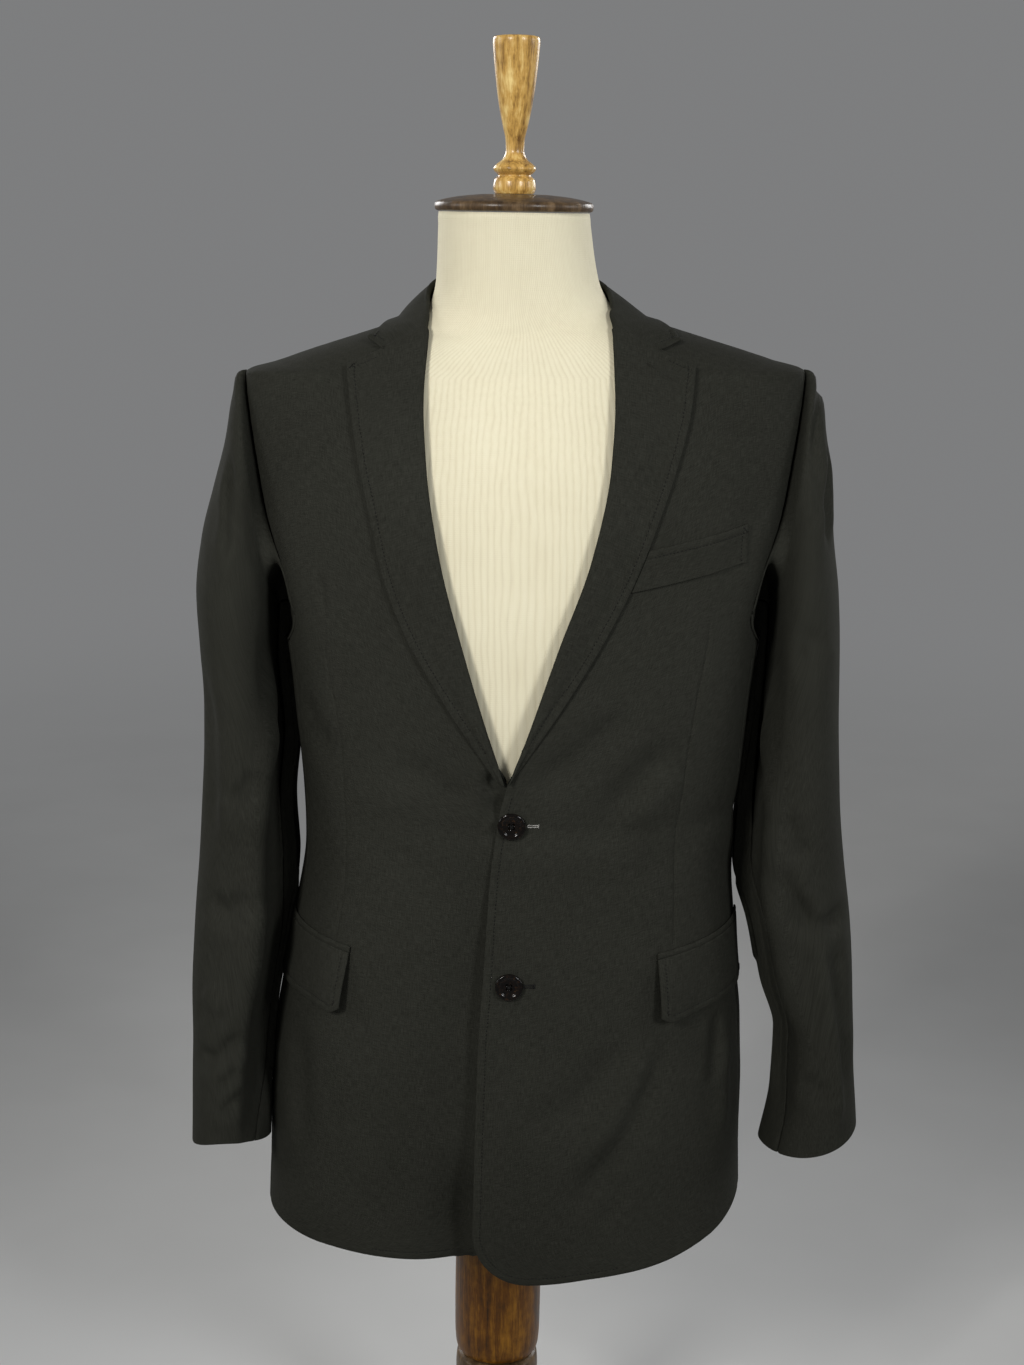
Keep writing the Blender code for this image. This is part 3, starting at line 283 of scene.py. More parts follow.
def surface(angle, z, lift=0.0):
    """Points that stand off the body's surface by lift."""
    return ring_point(angle, z) + surface_normal(angle, z) * np.asarray(lift)[..., None]


def angle_at(x, z):
    """Ring angle on the front at a distance from the centre front."""
    share = np.minimum(1.0, np.abs(x) / half_width(z))
    turn = np.degrees(np.arccos(share ** (squareness(z) / 2.0)))
    return np.where(np.asarray(x) >= 0.0, -turn, turn - 180.0)


def front_surface(x, z, lift):
    return surface(angle_at(x, z), z, lift)


def worn(points):
    """The points where the jacket hangs: moved over, and tilted below the neck."""
    x, y, z = np.moveaxis(points, -1, 0)
    tilt = TILT * (1.0 - smooth_step(z, *TILT_FADES))
    return np.stack([x + offset_at(z), y, z + tilt * x], axis=-1)


def lap_lift(side, x, z):
    """How far a forepart stands off the body because it laps over the other one."""
    if side == "right":
        return np.zeros_like(x)
    return LAP_LIFT * (1.0 - smooth_step(x, *LAP_FADES_X)) * (1.0 - smooth_step(z, *LAP_FADES_Z))


def armhole_angle(z, toward):
    """Ring angle of the armhole's edge toward the front (-1) or the back (1)."""
    share = np.clip((z - ARM_MIDDLE_Z) / ARM_HALF_HEIGHT, -1.0, 1.0)
    return toward * armhole_reach[toward](np.degrees(np.arccos(share)))


def underarm_height(angle):
    """Height of the armhole's lower edge at each ring angle of the side panel."""
    angle = np.asarray(angle, float)
    out = np.empty_like(angle)
    for toward in (-1, 1):
        turns = np.linspace(180.0, WIDEST_TURN[toward], 400)
        here = angle < 0.0 if toward < 0 else angle >= 0.0
        turn = np.interp(np.abs(angle[here]), armhole_reach[toward](turns), turns)
        out[here] = ARM_MIDDLE_Z + ARM_HALF_HEIGHT * np.cos(np.radians(turn))
    return out


def ring_excess(points):
    """Negative inside the body's ring at each point's height, positive outside."""
    x, y, z = np.moveaxis(points, -1, 0)
    depth = np.where(y > 0.0, back_depth(z), front_depth(z))
    power = squareness(z)
    return (np.abs(x) / half_width(z)) ** power + (np.abs(y) / depth) ** power - 1.0


def pushed_clear(points, lift):
    """The points, moved out where they lie less than lift off the body's surface."""
    nudge = 0.0005
    for _ in range(6):
        rises = [ring_excess(points + s) - ring_excess(points - s) for s in np.eye(3) * nudge]
        slope = np.stack(rises, -1) / (2.0 * nudge)
        steep = np.linalg.norm(slope, axis=-1, keepdims=True)
        short = lift - ring_excess(points)[..., None] / steep
        points = np.where(short > 0.0, points + slope / steep * short, points)
    return points


sleeve_fields = {}
for side in SIDES:
    rings = zip(SLEEVE_RINGS[side], SLEEVE_REACH)
    sleeve_fields[side] = fields([ring + reach for ring, reach in rings])


def armhole_point(angle):
    """Where the sleeve meets the armhole; its edge is a little larger than the armhole."""
    turn = (angle + 180.0) % 360.0 - 180.0
    toward = np.where(turn > 0.0, -1.0, 1.0)
    t = np.radians(turn)
    z = ARM_MIDDLE_Z + (ARM_HALF_HEIGHT + SLEEVE_HEAD_GROW) * np.cos(t)
    reach = np.where(turn > 0.0, armhole_reach[-1](np.abs(turn)), armhole_reach[1](np.abs(turn)))
    reach = reach + np.degrees(SLEEVE_HEAD_GROW / ARM_RADIUS) * np.abs(np.sin(t))
    top = SHOULDER_TIP_Z + 0.6 * SLEEVE_HEAD_GROW
    return surface(toward * reach, np.minimum(z, top), SLEEVE_HEAD_LIFT)


def sleeve_ring(side, s, angle):
    """Points of the sleeve rings; s counts rings down from the head, angle runs round the front."""
    out_x, out_z, in_x, in_z, y, front, back = (field(s) for field in sleeve_fields[side])
    t = np.radians(angle)
    turn, outward = np.sin(t), np.cos(t)
    x = 0.5 * (out_x + in_x) + 0.5 * (out_x - in_x) * outward
    y = y - np.sign(turn) * np.abs(turn) ** SLEEVE_CREASE * np.where(turn > 0.0, front, back)
    z = 0.5 * (out_z + in_z) + 0.5 * (out_z - in_z) * outward
    return np.stack(np.broadcast_arrays(x, y, z), axis=-1)


def between(x, start, full, easing, end):
    """0 before start, 1 from full to easing, 0 again from end."""
    return smooth_step(x, start, full) * (1.0 - smooth_step(x, easing, end))


def tucked(side, s, angle, points):
    """Folds the side of the sleeve beside the body back, as far as the middle of the arm."""
    head = smooth_step(s, -1.0, 0.6)
    start = mix(*TUCK_START, head) + TUCK_TURN[side] * smooth_step(s, 7.5, 11.0)
    deep = between(angle, start, start + mix(*TUCK_SPAN, head), *TUCK_ENDS)
    deep = deep * smooth_step(s, TUCK_TOP, mix(-0.74, -0.5, smooth_step(angle, 150.0, 170.0)))
    deep = deep * (1.0 - smooth_step(s, *TUCK_FADES[side]))
    close = between(angle, 184.0, 198.0, 212.0, 232.0) * between(s, 4.6, 6.2, 8.8, 10.0)
    x, y, z = np.moveaxis(points, -1, 0)
    arm_middle = sleeve_fields["left"][4](np.maximum(s, 0.0))
    moved = np.stack([x - TUCK_SIDE * close, mix(y, np.maximum(y, arm_middle), deep), z], axis=-1)
    # beside the armhole it stays in front of the side panel, and goes in above the panel's top
    beside = (deep > 0.0) & (s < 1.0) & (z > UNDERARM_Z - 0.02)
    near = moved[beside]
    turn = np.degrees(np.arctan2(near[..., 1], near[..., 0]))
    over = near[..., 2] - underarm_height(turn)
    inside = smooth_step(over, -0.001, 0.005) * smooth_step(s[beside], TUCK_TOP, -0.9)
    moved[beside] = pushed_clear(near, mix(TUCK_CLEAR, TUCK_INSIDE, inside)[..., None])
    return moved


def sleeve_point(side, s, angle):
    """The sleeve's outer face: s from -1 at the armhole, 0 at its first ring, to the hem."""
    s, angle = np.broadcast_arrays(np.asarray(s, float), np.asarray(angle, float))
    seam = armhole_point(angle)
    first, second = sleeve_ring(side, 0.0, angle), sleeve_ring(side, 1.0, angle)
    u = np.clip(s + 1.0, 0.0, 1.0)[..., None]
    end = 0.5 * (second - seam)
    start = 1.5 * (first - seam) - 0.25 * (second - seam)
    head = seam + eased(u, first - seam, start, end)
    points = np.where(s[..., None] < 0.0, head, sleeve_ring(side, np.maximum(s, 0.0), angle))
    if side == "right":
        front = np.maximum(np.sin(np.radians(angle)), 0.0) ** 2
        raised = CUFF_RAISE * smooth_step(s, *CUFF_RAISE_RINGS) * front
        points = points + raised[..., None] * (0.0, 0.0, 1.0)
    points = tucked(side, s, angle, points)
    low = s > SLEEVE_FREE_RING
    points[low] = pushed_clear(points[low], SLEEVE_CLEAR)
    return points


# ---- folds -----------------------------------------------------------------------------------

# A fold is its half width, its rise (negative sinks), its skew and its points. On the body a point is
# a ring angle over the whole ring (-90 the front, past -90 the wearer's right) and a height.
BODY_FOLDS = (
    (0.012, -0.003, 0.35, (-51, 0.535), (-53, 0.515), (-58.5, 0.475), (-66.2, 0.431), (-74.2, 0.394),
     (-82, 0.372)),
    (0.013, 0.0022, 0, (-55, 0.53), (-60.5, 0.49), (-69, 0.448), (-77, 0.412)),
    (0.014, -0.002, 0.3, (-61, 0.53), (-70, 0.496), (-78.2, 0.472), (-89.5, 0.445)),
    (0.008, -0.0016, 0.2, (-63.5, 0.412), (-66.5, 0.388), (-69.5, 0.362)),
    (0.007, -0.0018, 0.2, (-30, 0.535), (-31.5, 0.5), (-33.5, 0.462)),
    (0.01, 0.0016, 0, (-24, 0.52), (-27, 0.47), (-29, 0.41)),
    (0.013, -0.002, 0.3, (-52, 0.775), (-58, 0.75), (-66.5, 0.721), (-74, 0.7)),
    (0.012, -0.0018, -0.2, (-66, 0.8), (-76, 0.77), (-84, 0.748), (-89, 0.722)),
    (0.012, 0.0014, 0, (-50, 0.745), (-58, 0.722), (-68, 0.7)),
    (0.016, -0.001, 0, (-38, 0.69), (-52, 0.67), (-66, 0.668)),
    (0.014, -0.001, 0.2, (-30, 0.96), (-38, 0.925), (-44, 0.885)),
    # wearer's right forepart
    (0.004, -0.0011, 0, (-137.5, 0.9), (-137.7, 0.886), (-138.4, 0.866)),
    (0.013, -0.0015, 0.2, (-120, 0.76), (-108, 0.735), (-99, 0.712)),
    (0.016, -0.001, 0, (-140, 0.7), (-126, 0.678), (-112, 0.672)),
    (0.013, -0.0014, 0, (-150, 0.53), (-146, 0.47), (-143, 0.4)),
    (0.02, 0.0018, 0, (-128, 0.52), (-122, 0.45), (-118, 0.37)),
    (0.012, -0.0012, 0.2, (-158, 0.8), (-150, 0.77), (-141, 0.75)),
    # sides
    (0.012, -0.0014, 0.2, (-8, 0.7), (2, 0.668), (14, 0.655)),
    (0.012, -0.0013, -0.2, (-171, 0.705), (178, 0.672), (166, 0.66)),
    (0.016, -0.0016, 0.2, (4, 0.56), (8, 0.49), (10, 0.41)),
    (0.016, -0.0017, 0.1, (176, 0.54), (173, 0.47), (172, 0.4)),
    # back: under the collar, over the shoulder blades, at the waist and below it
    (0.009, -0.0005, 0.3, (50, 1.062), (72, 1.054), (90, 1.052), (110, 1.055), (131, 1.063)),
    (0.016, -0.0016, 0.2, (46, 0.985), (56, 0.94), (60, 0.89)),
    (0.016, -0.0018, -0.2, (133, 0.98), (124, 0.935), (120, 0.88)),
    (0.012, -0.0018, 0.3, (38, 0.705), (56, 0.682), (76, 0.676)),
    (0.01, 0.0012, 0, (40, 0.668), (58, 0.655), (82, 0.66)),
    (0.012, -0.0017, -0.2, (143, 0.712), (122, 0.69), (101, 0.678)),
    (0.011, -0.0012, 0.2, (139, 0.65), (120, 0.64), (97, 0.65)),
    (0.02, -0.0026, 0.1, (60, 0.6), (66, 0.52), (69, 0.42), (70, 0.35)),
    (0.019, -0.0022, -0.2, (118, 0.6), (113, 0.51), (110, 0.42), (108, 0.35)),
    (0.017, 0.0014, 0, (84, 0.57), (82, 0.49), (82, 0.4)),
    (0.018, -0.0018, 0.2, (140, 0.56), (137, 0.47), (136, 0.38)),
)
# The wearer's right forepart sinks away beside the lapping edge.
UNDER_FOLDS = (
    (0.0082, -0.0088, 0, (-95.6, 0.752), (-95.3, 0.738), (-94.8, 0.7264), (-94.2, 0.715), (-93.8, 0.706)),
    (0.026, -0.012, 0.25, (-96, 0.69), (-96.8, 0.6), (-97.6, 0.5), (-98.2, 0.42), (-97.4, 0.31),
     (-97, 0.24)),
    (0.024, -0.013, 0, (-96, 0.44), (-97, 0.4), (-96.5, 0.32), (-96, 0.2)),
    (0.02, 0.0012, 0, (-109, 0.56), (-112, 0.47), (-113, 0.38)),
)
# On a sleeve a point is an angle from the outer line round the front, and rings down from the head.
SLEEVE_FOLDS = {
    "left": (
        (0.013, 0.0024, 0.2, (130, 1.4), (131, 2.8), (129, 5), (126, 7), (119, 8.6), (122, 10.5),
         (126, 12.5)),
        (0.0055, -0.0016, 0.2, (-40, 0.5), (0, 0.52), (40, 0.62), (70, 0.8)),
        (0.006, -0.0024, 0.3, (20, 1.7), (30, 2.3), (42, 3), (46, 3.7)),
        (0.01, -0.001, 0.2, (60, 0.3), (58, 1.4), (52, 2.8)),
        (0.007, 0.0016, 0, (78, 9.6), (74, 10.8), (69, 12.4), (65, 14.2)),
        (0.01, -0.0014, 0.2, (60, 9.9), (57, 11.2), (54, 13)),
        (0.009, -0.002, 0.2, (100, 9.1), (84, 9.6), (62, 9.7), (30, 9.6)),
        (0.008, 0.0014, 0, (104, 8.5), (90, 8.9), (74, 9.5), (60, 10.1)),
        (0.01, -0.0014, 0, (112, 8), (96, 8.4), (78, 8.8)),
        (0.014, -0.001, 0, (110, 4.6), (92, 5), (70, 4.8)),
        (0.009, -0.001, 0, (118, 12.4), (98, 12.7), (82, 12.5)),
        (0.011, -0.0024, 0.2, (-40, 9.4), (-70, 9), (-100, 9.2)),
        (0.01, -0.0018, 0, (-52, 10.2), (-80, 9.9), (-112, 10.1)),
        (0.012, -0.0016, 0.2, (-30, 7.9), (-62, 8.3), (-90, 8)),
        (0.014, -0.0018, 0.1, (-62, 2), (-70, 4), (-66, 6.2)),
    ),
    "right": (
        (0.013, 0.0025, 0.2, (127, 1.4), (130, 3), (127, 5), (124, 6.4), (118, 7.8), (110, 8.8),
         (108, 10), (111, 11.6), (113, 13.2)),
        (0.0055, -0.0018, 0.3, (44, 1.4), (50, 2), (62, 2.8), (70, 3.6)),
        (0.008, 0.0012, 0, (52, 2), (66, 2.9), (76, 3.8)),
        (0.01, -0.0018, 0.2, (104, 9.1), (80, 9.5), (48, 9.3)),
        (0.008, -0.0018, 0.2, (112, 11.5), (92, 11.8), (66, 12.1), (40, 12)),
        (0.006, -0.0013, 0, (108, 12.3), (94, 12.6), (78, 12.9)),
        (0.006, -0.0011, 0, (112, 13), (96, 13.3), (84, 13.2)),
        (0.009, 0.0012, 0, (92, 11.1), (72, 11), (50, 10.8)),
        (0.011, -0.0014, 0, (114, 7.4), (98, 7.8), (80, 7.6)),
        (0.016, -0.0012, 0, (30, 6), (44, 7.6), (50, 9)),
        (0.011, -0.0024, 0.2, (-36, 9.1), (-66, 8.8), (-98, 9)),
        (0.01, -0.0018, 0, (-50, 9.9), (-82, 9.7), (-110, 9.9)),
        (0.012, -0.0016, 0.2, (-34, 7.6), (-66, 8), (-92, 7.7)),
        (0.014, -0.0018, 0.1, (-60, 1.8), (-68, 3.8), (-64, 6)),
    ),
}
FORM_FOLDS = (
    (0.006, -0.0011, 0.2, (-150, 1.075), (-125, 1.083), (-100, 1.079), (-78, 1.086), (-50, 1.082)),
    (0.005, -0.0007, 0, (-130, 1.098), (-110, 1.094), (-92, 1.097)),
    (0.006, -0.0008, 0.2, (-88, 1.1), (-66, 1.092), (-44, 1.099)),
    (0.003, -0.0006, 0, (-140, 1.162), (-122, 1.158), (-100, 1.166)),
    (0.008, -0.0006, 0, (-112, 1.06), (-96, 1.052), (-80, 1.058)),
)
FLANK = 0.34  # the shallow roll on each side of a fold, as a share of its rise
FOLD_REACH = 3.4  # how many half widths a fold reaches
LINE_POINTS = 26
FOLD_FADES = (0.0, 0.34, 0.64, 1.0)  # a fold grows and dies out between these shares of its length
FOLD_GAIN = 2.2
SLEEVE_FOLD_GAIN = 3.4


def smooth_line(spots):
    """The two addresses of a fold's points, on a smooth line."""
    at = np.linspace(0.0, len(spots) - 1.0, LINE_POINTS)
    return [field(at) for field in fields(spots)]


def near_box(points, path, reach):
    """Which points lie in the path's box, grown by reach."""
    return ((points > path.min(0) - reach) & (points < path.max(0) + reach)).all(-1)


def fold_height(points, normals, folds, place, flank_share=FLANK):
    """How far the folds move each point along its normal; place turns addresses into points."""
    height = np.zeros(points.shape[:-1])
    for width, rise, skew, *spots in folds:
        line = place(*smooth_line(spots))
        near = near_box(points, line, FOLD_REACH * width)
        p, n = points[near], normals[near]
        if not len(p):
            continue
        a, ab = line[:-1], np.diff(line, axis=0)
        length = np.linalg.norm(ab, axis=1)
        along = np.clip(((p[:, None] - a) * ab).sum(-1) / (ab * ab).sum(-1), 0.0, 1.0)
        off = p[:, None] - a - along[..., None] * ab
        distance = np.linalg.norm(off, axis=-1)
        k = distance.argmin(1)
        row = np.arange(len(k))
        side = (np.cross(ab[k], n) * off[row, k]).sum(-1)
        s = np.where(side < 0.0, -1.0, 1.0) * distance[row, k] / width
        run = (np.concatenate([[0.0], np.cumsum(length)])[k] + along[row, k] * length[k]) / length.sum()
        fade = between(run, *FOLD_FADES)
        core = bell(s, 1.0 + skew * np.tanh(s))
        flank = bell(s - 2.0, 1.2) + 0.7 * bell(s + 2.1, 1.3)
        uneven = 1.0 + 0.22 * np.sin(9.0 * run + 40.0 * width)
        height[near] += rise * fade * uneven * (core - flank_share * flank)
    return height


def drape(points):
    """The cloth's own slow unevenness, less over the canvassed chest."""
    x, y, z = np.moveaxis(points, -1, 0)
    slow = np.sin(31.0 * x + 17.0 * z + 0.7) * np.cos(23.0 * z - 29.0 * y)
    quick = np.sin(57.0 * z + 41.0 * x - 1.1) * np.sin(49.0 * x - 38.0 * y + 26.0 * z)
    return (0.0007 * slow + 0.0003 * quick) * (1.0 - 0.65 * smooth_step(z, 0.8, 1.0))


def flip(points, side):
    """From the left half's space to the side's, or back."""
    return points if side == "left" else points * np.array((-1.0, 1.0, 1.0))


def body_relief(points, normals, side, under=False):
    """Height of the cloth's folds; under adds those beside the lapping edge."""
    p, n = flip(points, side), flip(normals, side)
    height = FOLD_GAIN * fold_height(p, n, BODY_FOLDS, ring_point) + drape(p)
    if under:
        height += fold_height(p, n, UNDER_FOLDS, ring_point, 0.0)
    return height


# ---- making shells ---------------------------------------------------------------------------

EDGE_STEPS = (0.0, 0.0007, 0.0016, 0.0028, 0.004, 0.005, 0.006, 0.007, 0.008, 0.0098, 0.0125)
SEAM_STEPS = (0.0, 0.0006, 0.0014, 0.0024, 0.004, 0.0062)
DART_STEPS = (0.0, 0.0006, 0.0013, 0.0022, 0.0036, 0.0056)
STITCH_INSET = 0.006
STITCH_REACH = 0.02  # further than this from an edge its stitching has no effect
RIM_TURNS = (40.0, 90.0, 140.0)
SEAM_RIM = 0.05  # how round the rim is: flat at a seam,
EDGE_RIM = 0.85  # and round at an edge


def grid_normals(grid):
    return unit(np.cross(np.gradient(grid, axis=1), np.gradient(grid, axis=0)))


def lengths(grid, axis):
    """Distance of each point from the grid's first border along an axis."""
    steps = np.linalg.norm(np.diff(grid, axis=axis), axis=-1)
    start = np.zeros_like(np.take(steps, [0], axis=axis))
    return np.concatenate([start, np.cumsum(steps, axis=axis)], axis=axis)


def make_object(name, points, faces, cloth=None):
    """A smooth mesh; faces is a list of index arrays, one row a face."""
    mesh = bpy.data.meshes.new(name)
    mesh.vertices.add(len(points))
    mesh.vertices.foreach_set("co", np.ascontiguousarray(points, dtype=np.float32).ravel())
    loops = np.concatenate([f.ravel() for f in faces]).astype(np.int32)
    sizes = np.concatenate([np.full(len(f), f.shape[1]) for f in faces])
    mesh.loops.add(len(loops))
    mesh.loops.foreach_set("vertex_index", loops)
    mesh.polygons.add(len(sizes))
    mesh.polygons.foreach_set("loop_start", (np.cumsum(sizes) - sizes).astype(np.int32))
    mesh.update(calc_edges=True)
    mesh.polygons.foreach_set("use_smooth", np.ones(len(sizes), bool))
    if cloth is not None:
        made = mesh.attributes.new("cloth", "FLOAT_VECTOR", "POINT")
        made.data.foreach_set("vector", np.ascontiguousarray(cloth, dtype=np.float32).ravel())
    mesh.validate()
    thing = bpy.data.objects.new(name, mesh)
    bpy.context.scene.collection.objects.link(thing)
    return thing


def rim_indices(rows, cols):
    """The grid's border as (row, column) pairs, once round."""
    rim = [(0, c) for c in range(cols)] + [(r, cols - 1) for r in range(1, rows)]
    rim += [(rows - 1, c) for c in range(cols - 2, -1, -1)] + [(r, 0) for r in range(rows - 2, 0, -1)]
    return np.array(rim)


def seam_form(distance, along):
    """A seam sinks, and puckers a little along its length."""
    dip = -0.0008 * bell(distance, 0.0015) - 0.0004 * bell(distance, 0.0055)
    ripple = np.sin(430.0 * along + 2.0 * np.sin(61.0 * along)) + 0.6 * np.sin(263.0 * along + 1.3)
    return dip + 0.00014 * ripple * np.exp(-distance / 0.006)


def edge_form(distance):
    """A turned edge: rounded off, with the sunk line of its stitching."""
    line = bell(distance - STITCH_INSET, 0.0011)
    swell = bell(distance - 0.5 * STITCH_INSET, 0.0022)
    return 0.0002 * swell - 0.00038 * line - 0.0003 * bell(distance, 0.001)


def edge_distance(points, path):
    """Distance of each grid point from a path, up to STITCH_REACH."""
    run = run_along(path)
    fine = points_at(np.arange(0.0, run[-1], 0.0006), run, path)
    tree = KDTree(len(fine))
    for i, p in enumerate(fine):
        tree.insert(p, i)
    tree.balance()
    near = near_box(points, fine, STITCH_REACH)
    out = np.full(points.shape[:-1], STITCH_REACH)
    out[near] = [min(STITCH_REACH, tree.find(p)[2]) for p in points[near]]
    return out


Shell = namedtuple("Shell", "thing outer normals")
shells = {}


def relieved(grid, relief, seams, stitched):
    """The grid moved out along its normals, by its relief, seams and stitched edge."""
    across, up = lengths(grid, 1), lengths(grid, 0)
    normals = grid_normals(grid)
    height = relief(grid, normals, across)
    borders = {
        "a": (across, up), "z": (across[:, -1:] - across, up),
        "b": (up, across), "t": (up[-1:] - up, across),
    }
    for border in seams:
        height += seam_form(*borders[border])
    if stitched is not None:
        height += edge_form(edge_distance(grid, grid[stitched[:, 0], stitched[:, 1]]))
    return grid + normals * height[..., None]


def rim_rings(outer, normals, thickness, seams):
    """Rings of points round the wall's rim, from its outer to its inner face."""
    rows, cols = outer.shape[:2]
    r, c = rim_indices(rows, cols).T
    edge, up = outer[r, c], normals[r, c]
    away = edge - outer[np.clip(r, 1, rows - 2), np.clip(c, 1, cols - 2)]
    away = unit(away - up * (away * up).sum(-1, keepdims=True))
    swell = np.full(len(r), EDGE_RIM)
    for border, at in (("a", c == 0), ("z", c == cols - 1), ("b", r == 0), ("t", r == rows - 1)):
        if border in seams:
            swell[at] = SEAM_RIM
    half = 0.5 * thickness
    return [
        edge + half * (math.cos(turn) - 1.0) * up + away * (half * math.sin(turn) * swell)[:, None]
        for turn in np.radians(RIM_TURNS)
    ]


def wall_faces(rows, cols, rings):
    """Quads of the outer face, the inner face and the rim between them."""
    size = rows * cols
    index = np.arange(size).reshape(rows, cols)
    corners = index[:-1, :-1], index[:-1, 1:], index[1:, 1:], index[1:, :-1]
    quads = np.stack(corners, -1).reshape(-1, 4)
    r, c = rim_indices(rows, cols).T
    steps = [2 * size + k * len(r) + np.arange(len(r)) for k in range(rings)]
    steps = [index[r, c], *steps, index[r, c] + size]
    rim = [np.stack([np.roll(a, -1), a, b, np.roll(b, -1)], -1) for a, b in zip(steps, steps[1:])]
    return [quads, quads[:, ::-1] + size, *rim]


def shell(name, grid, thickness, side, relief, seams, stitched=None):
    """A closed cloth wall behind a grid of points, rows by columns.

    seams names the grid's borders that are sewn to a neighbour: a first column, z last column,
    b first row, t last row. stitched is the path of the turned edge, as (row, column) pairs.
    """
    outer = relieved(grid, relief, seams, stitched)
    normals = grid_normals(outer)
    rings = rim_rings(outer, normals, thickness, seams)
    inner = outer - normals * thickness
    points = np.concatenate([outer.reshape(-1, 3), inner.reshape(-1, 3), *rings])
    faces = wall_faces(*grid.shape[:2], len(rings))
    if side == "right":
        faces = [f[:, ::-1] for f in faces]
    across, up = lengths(grid, 1), lengths(grid, 0)
    flat = np.stack([across, up, np.zeros_like(up)], -1)
    r, c = rim_indices(*grid.shape[:2]).T
    cloth = np.concatenate([flat.reshape(-1, 3)] * 2 + [flat[r, c]] * len(rings))
    thing = make_object(name, worn(flip(points, side)), faces, cloth)
    dress(thing, "wool")
    shells[name] = Shell(thing, outer, normals)
    return shells[name]


# ---- body panels -----------------------------------------------------------------------------

PITCH = 0.0042
SEAM_ANGLE = 0.012  # half the gap between two panels, in degrees
BACK_SEAM_ANGLE = 0.008
SHOULDER_SEAM_ANGLE = 0.25
FRONT_TOP_Z = NECK_SEAM_SIDE_Z - 0.0015
SIDE_TOP_Z = 0.805  # the side panel's rows are level below this
BACK_TOP_Z = 1.08
ROLL_RADIUS = 0.0027  # of the lapel's roll
ROLL_SETBACK = 1.4 * ROLL_RADIUS  # the forepart's edge lies this far behind the roll line
UNDER_LAP_BLEND = 0.036  # below the break the right edge runs into its roll over this height
UNDER_LAP_SETBACK = 0.0028
FRONT_FOOT = (0.0, 0.0002, 0.0006, 0.0012, 0.0021, 0.0033, 0.0048, 0.0066, 0.0087, 0.0112, 0.014, 0.017)
CHEST_Z = {-1: 0.8596, 1: 0.89}  # rows of foreparts and backs lie closer here too
PANEL_SEAMS = {-1: FRONT_SEAM, 1: BACK_SEAM}
SEAM_PLACES = {-1: -12.0, 1: 30.0}  # ring angles at which the hem's rise is read for these seams
# where the side panel's seams reach the armhole
JOIN_Z = {toward: float(underarm_height([seam[1]])[0]) for toward, seam in PANEL_SEAMS.items()}


def row_levels(low, high, dense_at, pitch=PITCH):
    """Heights whose rows lie evenly over the body, closer together at some of them."""
    z = np.linspace(low, high, 3000)
    rise, across, forward = (np.abs(np.diff(v)) for v in (z, half_width(z), front_depth(z)))
    step = rise + 0.9 * across + 0.5 * forward
    middle = 0.5 * (z[1:] + z[:-1])
    for spot in dense_at:
        step = step * (1.0 + 3.0 * bell(middle - spot, 0.005))
    run = np.concatenate([[0.0], np.cumsum(step)])
    return np.interp(np.linspace(0.0, run[-1], int(run[-1] / pitch) + 2), run, z)


def hem_levels(top, dense_at=(), foot=(0.0,)):
    """Levels of a panel's rows from the hem up; foot is the first ones above it."""
    levels = row_levels(HEM_Z, top, (BREAK_Z, *dense_at))
    start = HEM_Z + np.array(foot)
    return np.concatenate([start, levels[levels > start[-1] + 0.0012]])


def row_z(side, level, angle):
    """Height of a row at an angle: it follows the hem's rise near the hem and is level above."""
    return level + hem_rise[side](angle) * (1.0 - smooth_step(level, *HEM_FADES_Z))


def seam_angle(z, toward):
    return mix(*PANEL_SEAMS[toward], smooth_step(z, HEM_Z, UNDERARM_Z))


def side_edge(z, toward):
    """Ring angle of a forepart's or back's edge toward the side: its seam, and the armhole above."""
    return np.where(z > JOIN_Z[toward], armhole_angle(z, toward), seam_angle(z, toward))


def front_edge_angle(side, z, above_hem):
    """Ring angle of a forepart's front edge, round its hem corner and behind the lapel's roll."""
    lap = front_edge_x(z) + (0.0 if side == "left" else UNDER_LAP_SHORT)
    corner = np.clip(1.0 - above_hem / HEM_CORNER, 0.0, 1.0)
    lap = lap + HEM_CORNER * (1.0 - np.sqrt(1.0 - corner * corner))
    if side == "right":
        under = roll_x[side](BREAK_Z) - UNDER_LAP_SETBACK
        lap = mix(lap, under, smooth_step(z, BREAK_Z - UNDER_LAP_BLEND, BREAK_Z))
    behind = roll_x[side](z) + ROLL_SETBACK * smooth_step(z, BREAK_Z, BREAK_Z + 0.03)
    return angle_at(np.where(z > BREAK_Z, behind, lap), z)


def lay_columns(level, start, end, first, last, middle=None):
    """Ring angles of a panel's columns, at true distances from its borders and from a dart."""
    rows, spans = [], []
    for z, a, b in zip(level, start, end):
        angles = np.linspace(a, b, 500)
        spans.append((angles, run_along(ring_point(angles, z))))
    widest = max(run[-1] for _, run in spans)
    for k, (angles, run) in enumerate(spans):
        stops = [0.0, run[-1]]
        if middle is not None:
            stops.insert(1, np.clip(np.interp(middle[k], angles, run), 0.25 * run[-1], 0.75 * run[-1]))
        at = []
        for i, (low, high) in enumerate(zip(stops, stops[1:])):
            lead = np.array(first if i == 0 else DART_STEPS)
            tail = np.array(last if i == len(stops) - 2 else DART_STEPS)
            small = min(1.0, 0.42 * (high - low) / max(lead[-1], tail[-1]))
            lead, tail = low + lead * small, high - tail[::-1] * small
            count = int(widest / PITCH / (len(stops) - 1)) + 2
            at.append(np.concatenate([lead, np.linspace(lead[-1], tail[0], count)[1:-1], tail]))
        at = np.concatenate([at[0]] + [part[1:] for part in at[1:]])
        rows.append(np.interp(at, run, angles))
    return np.array(rows)


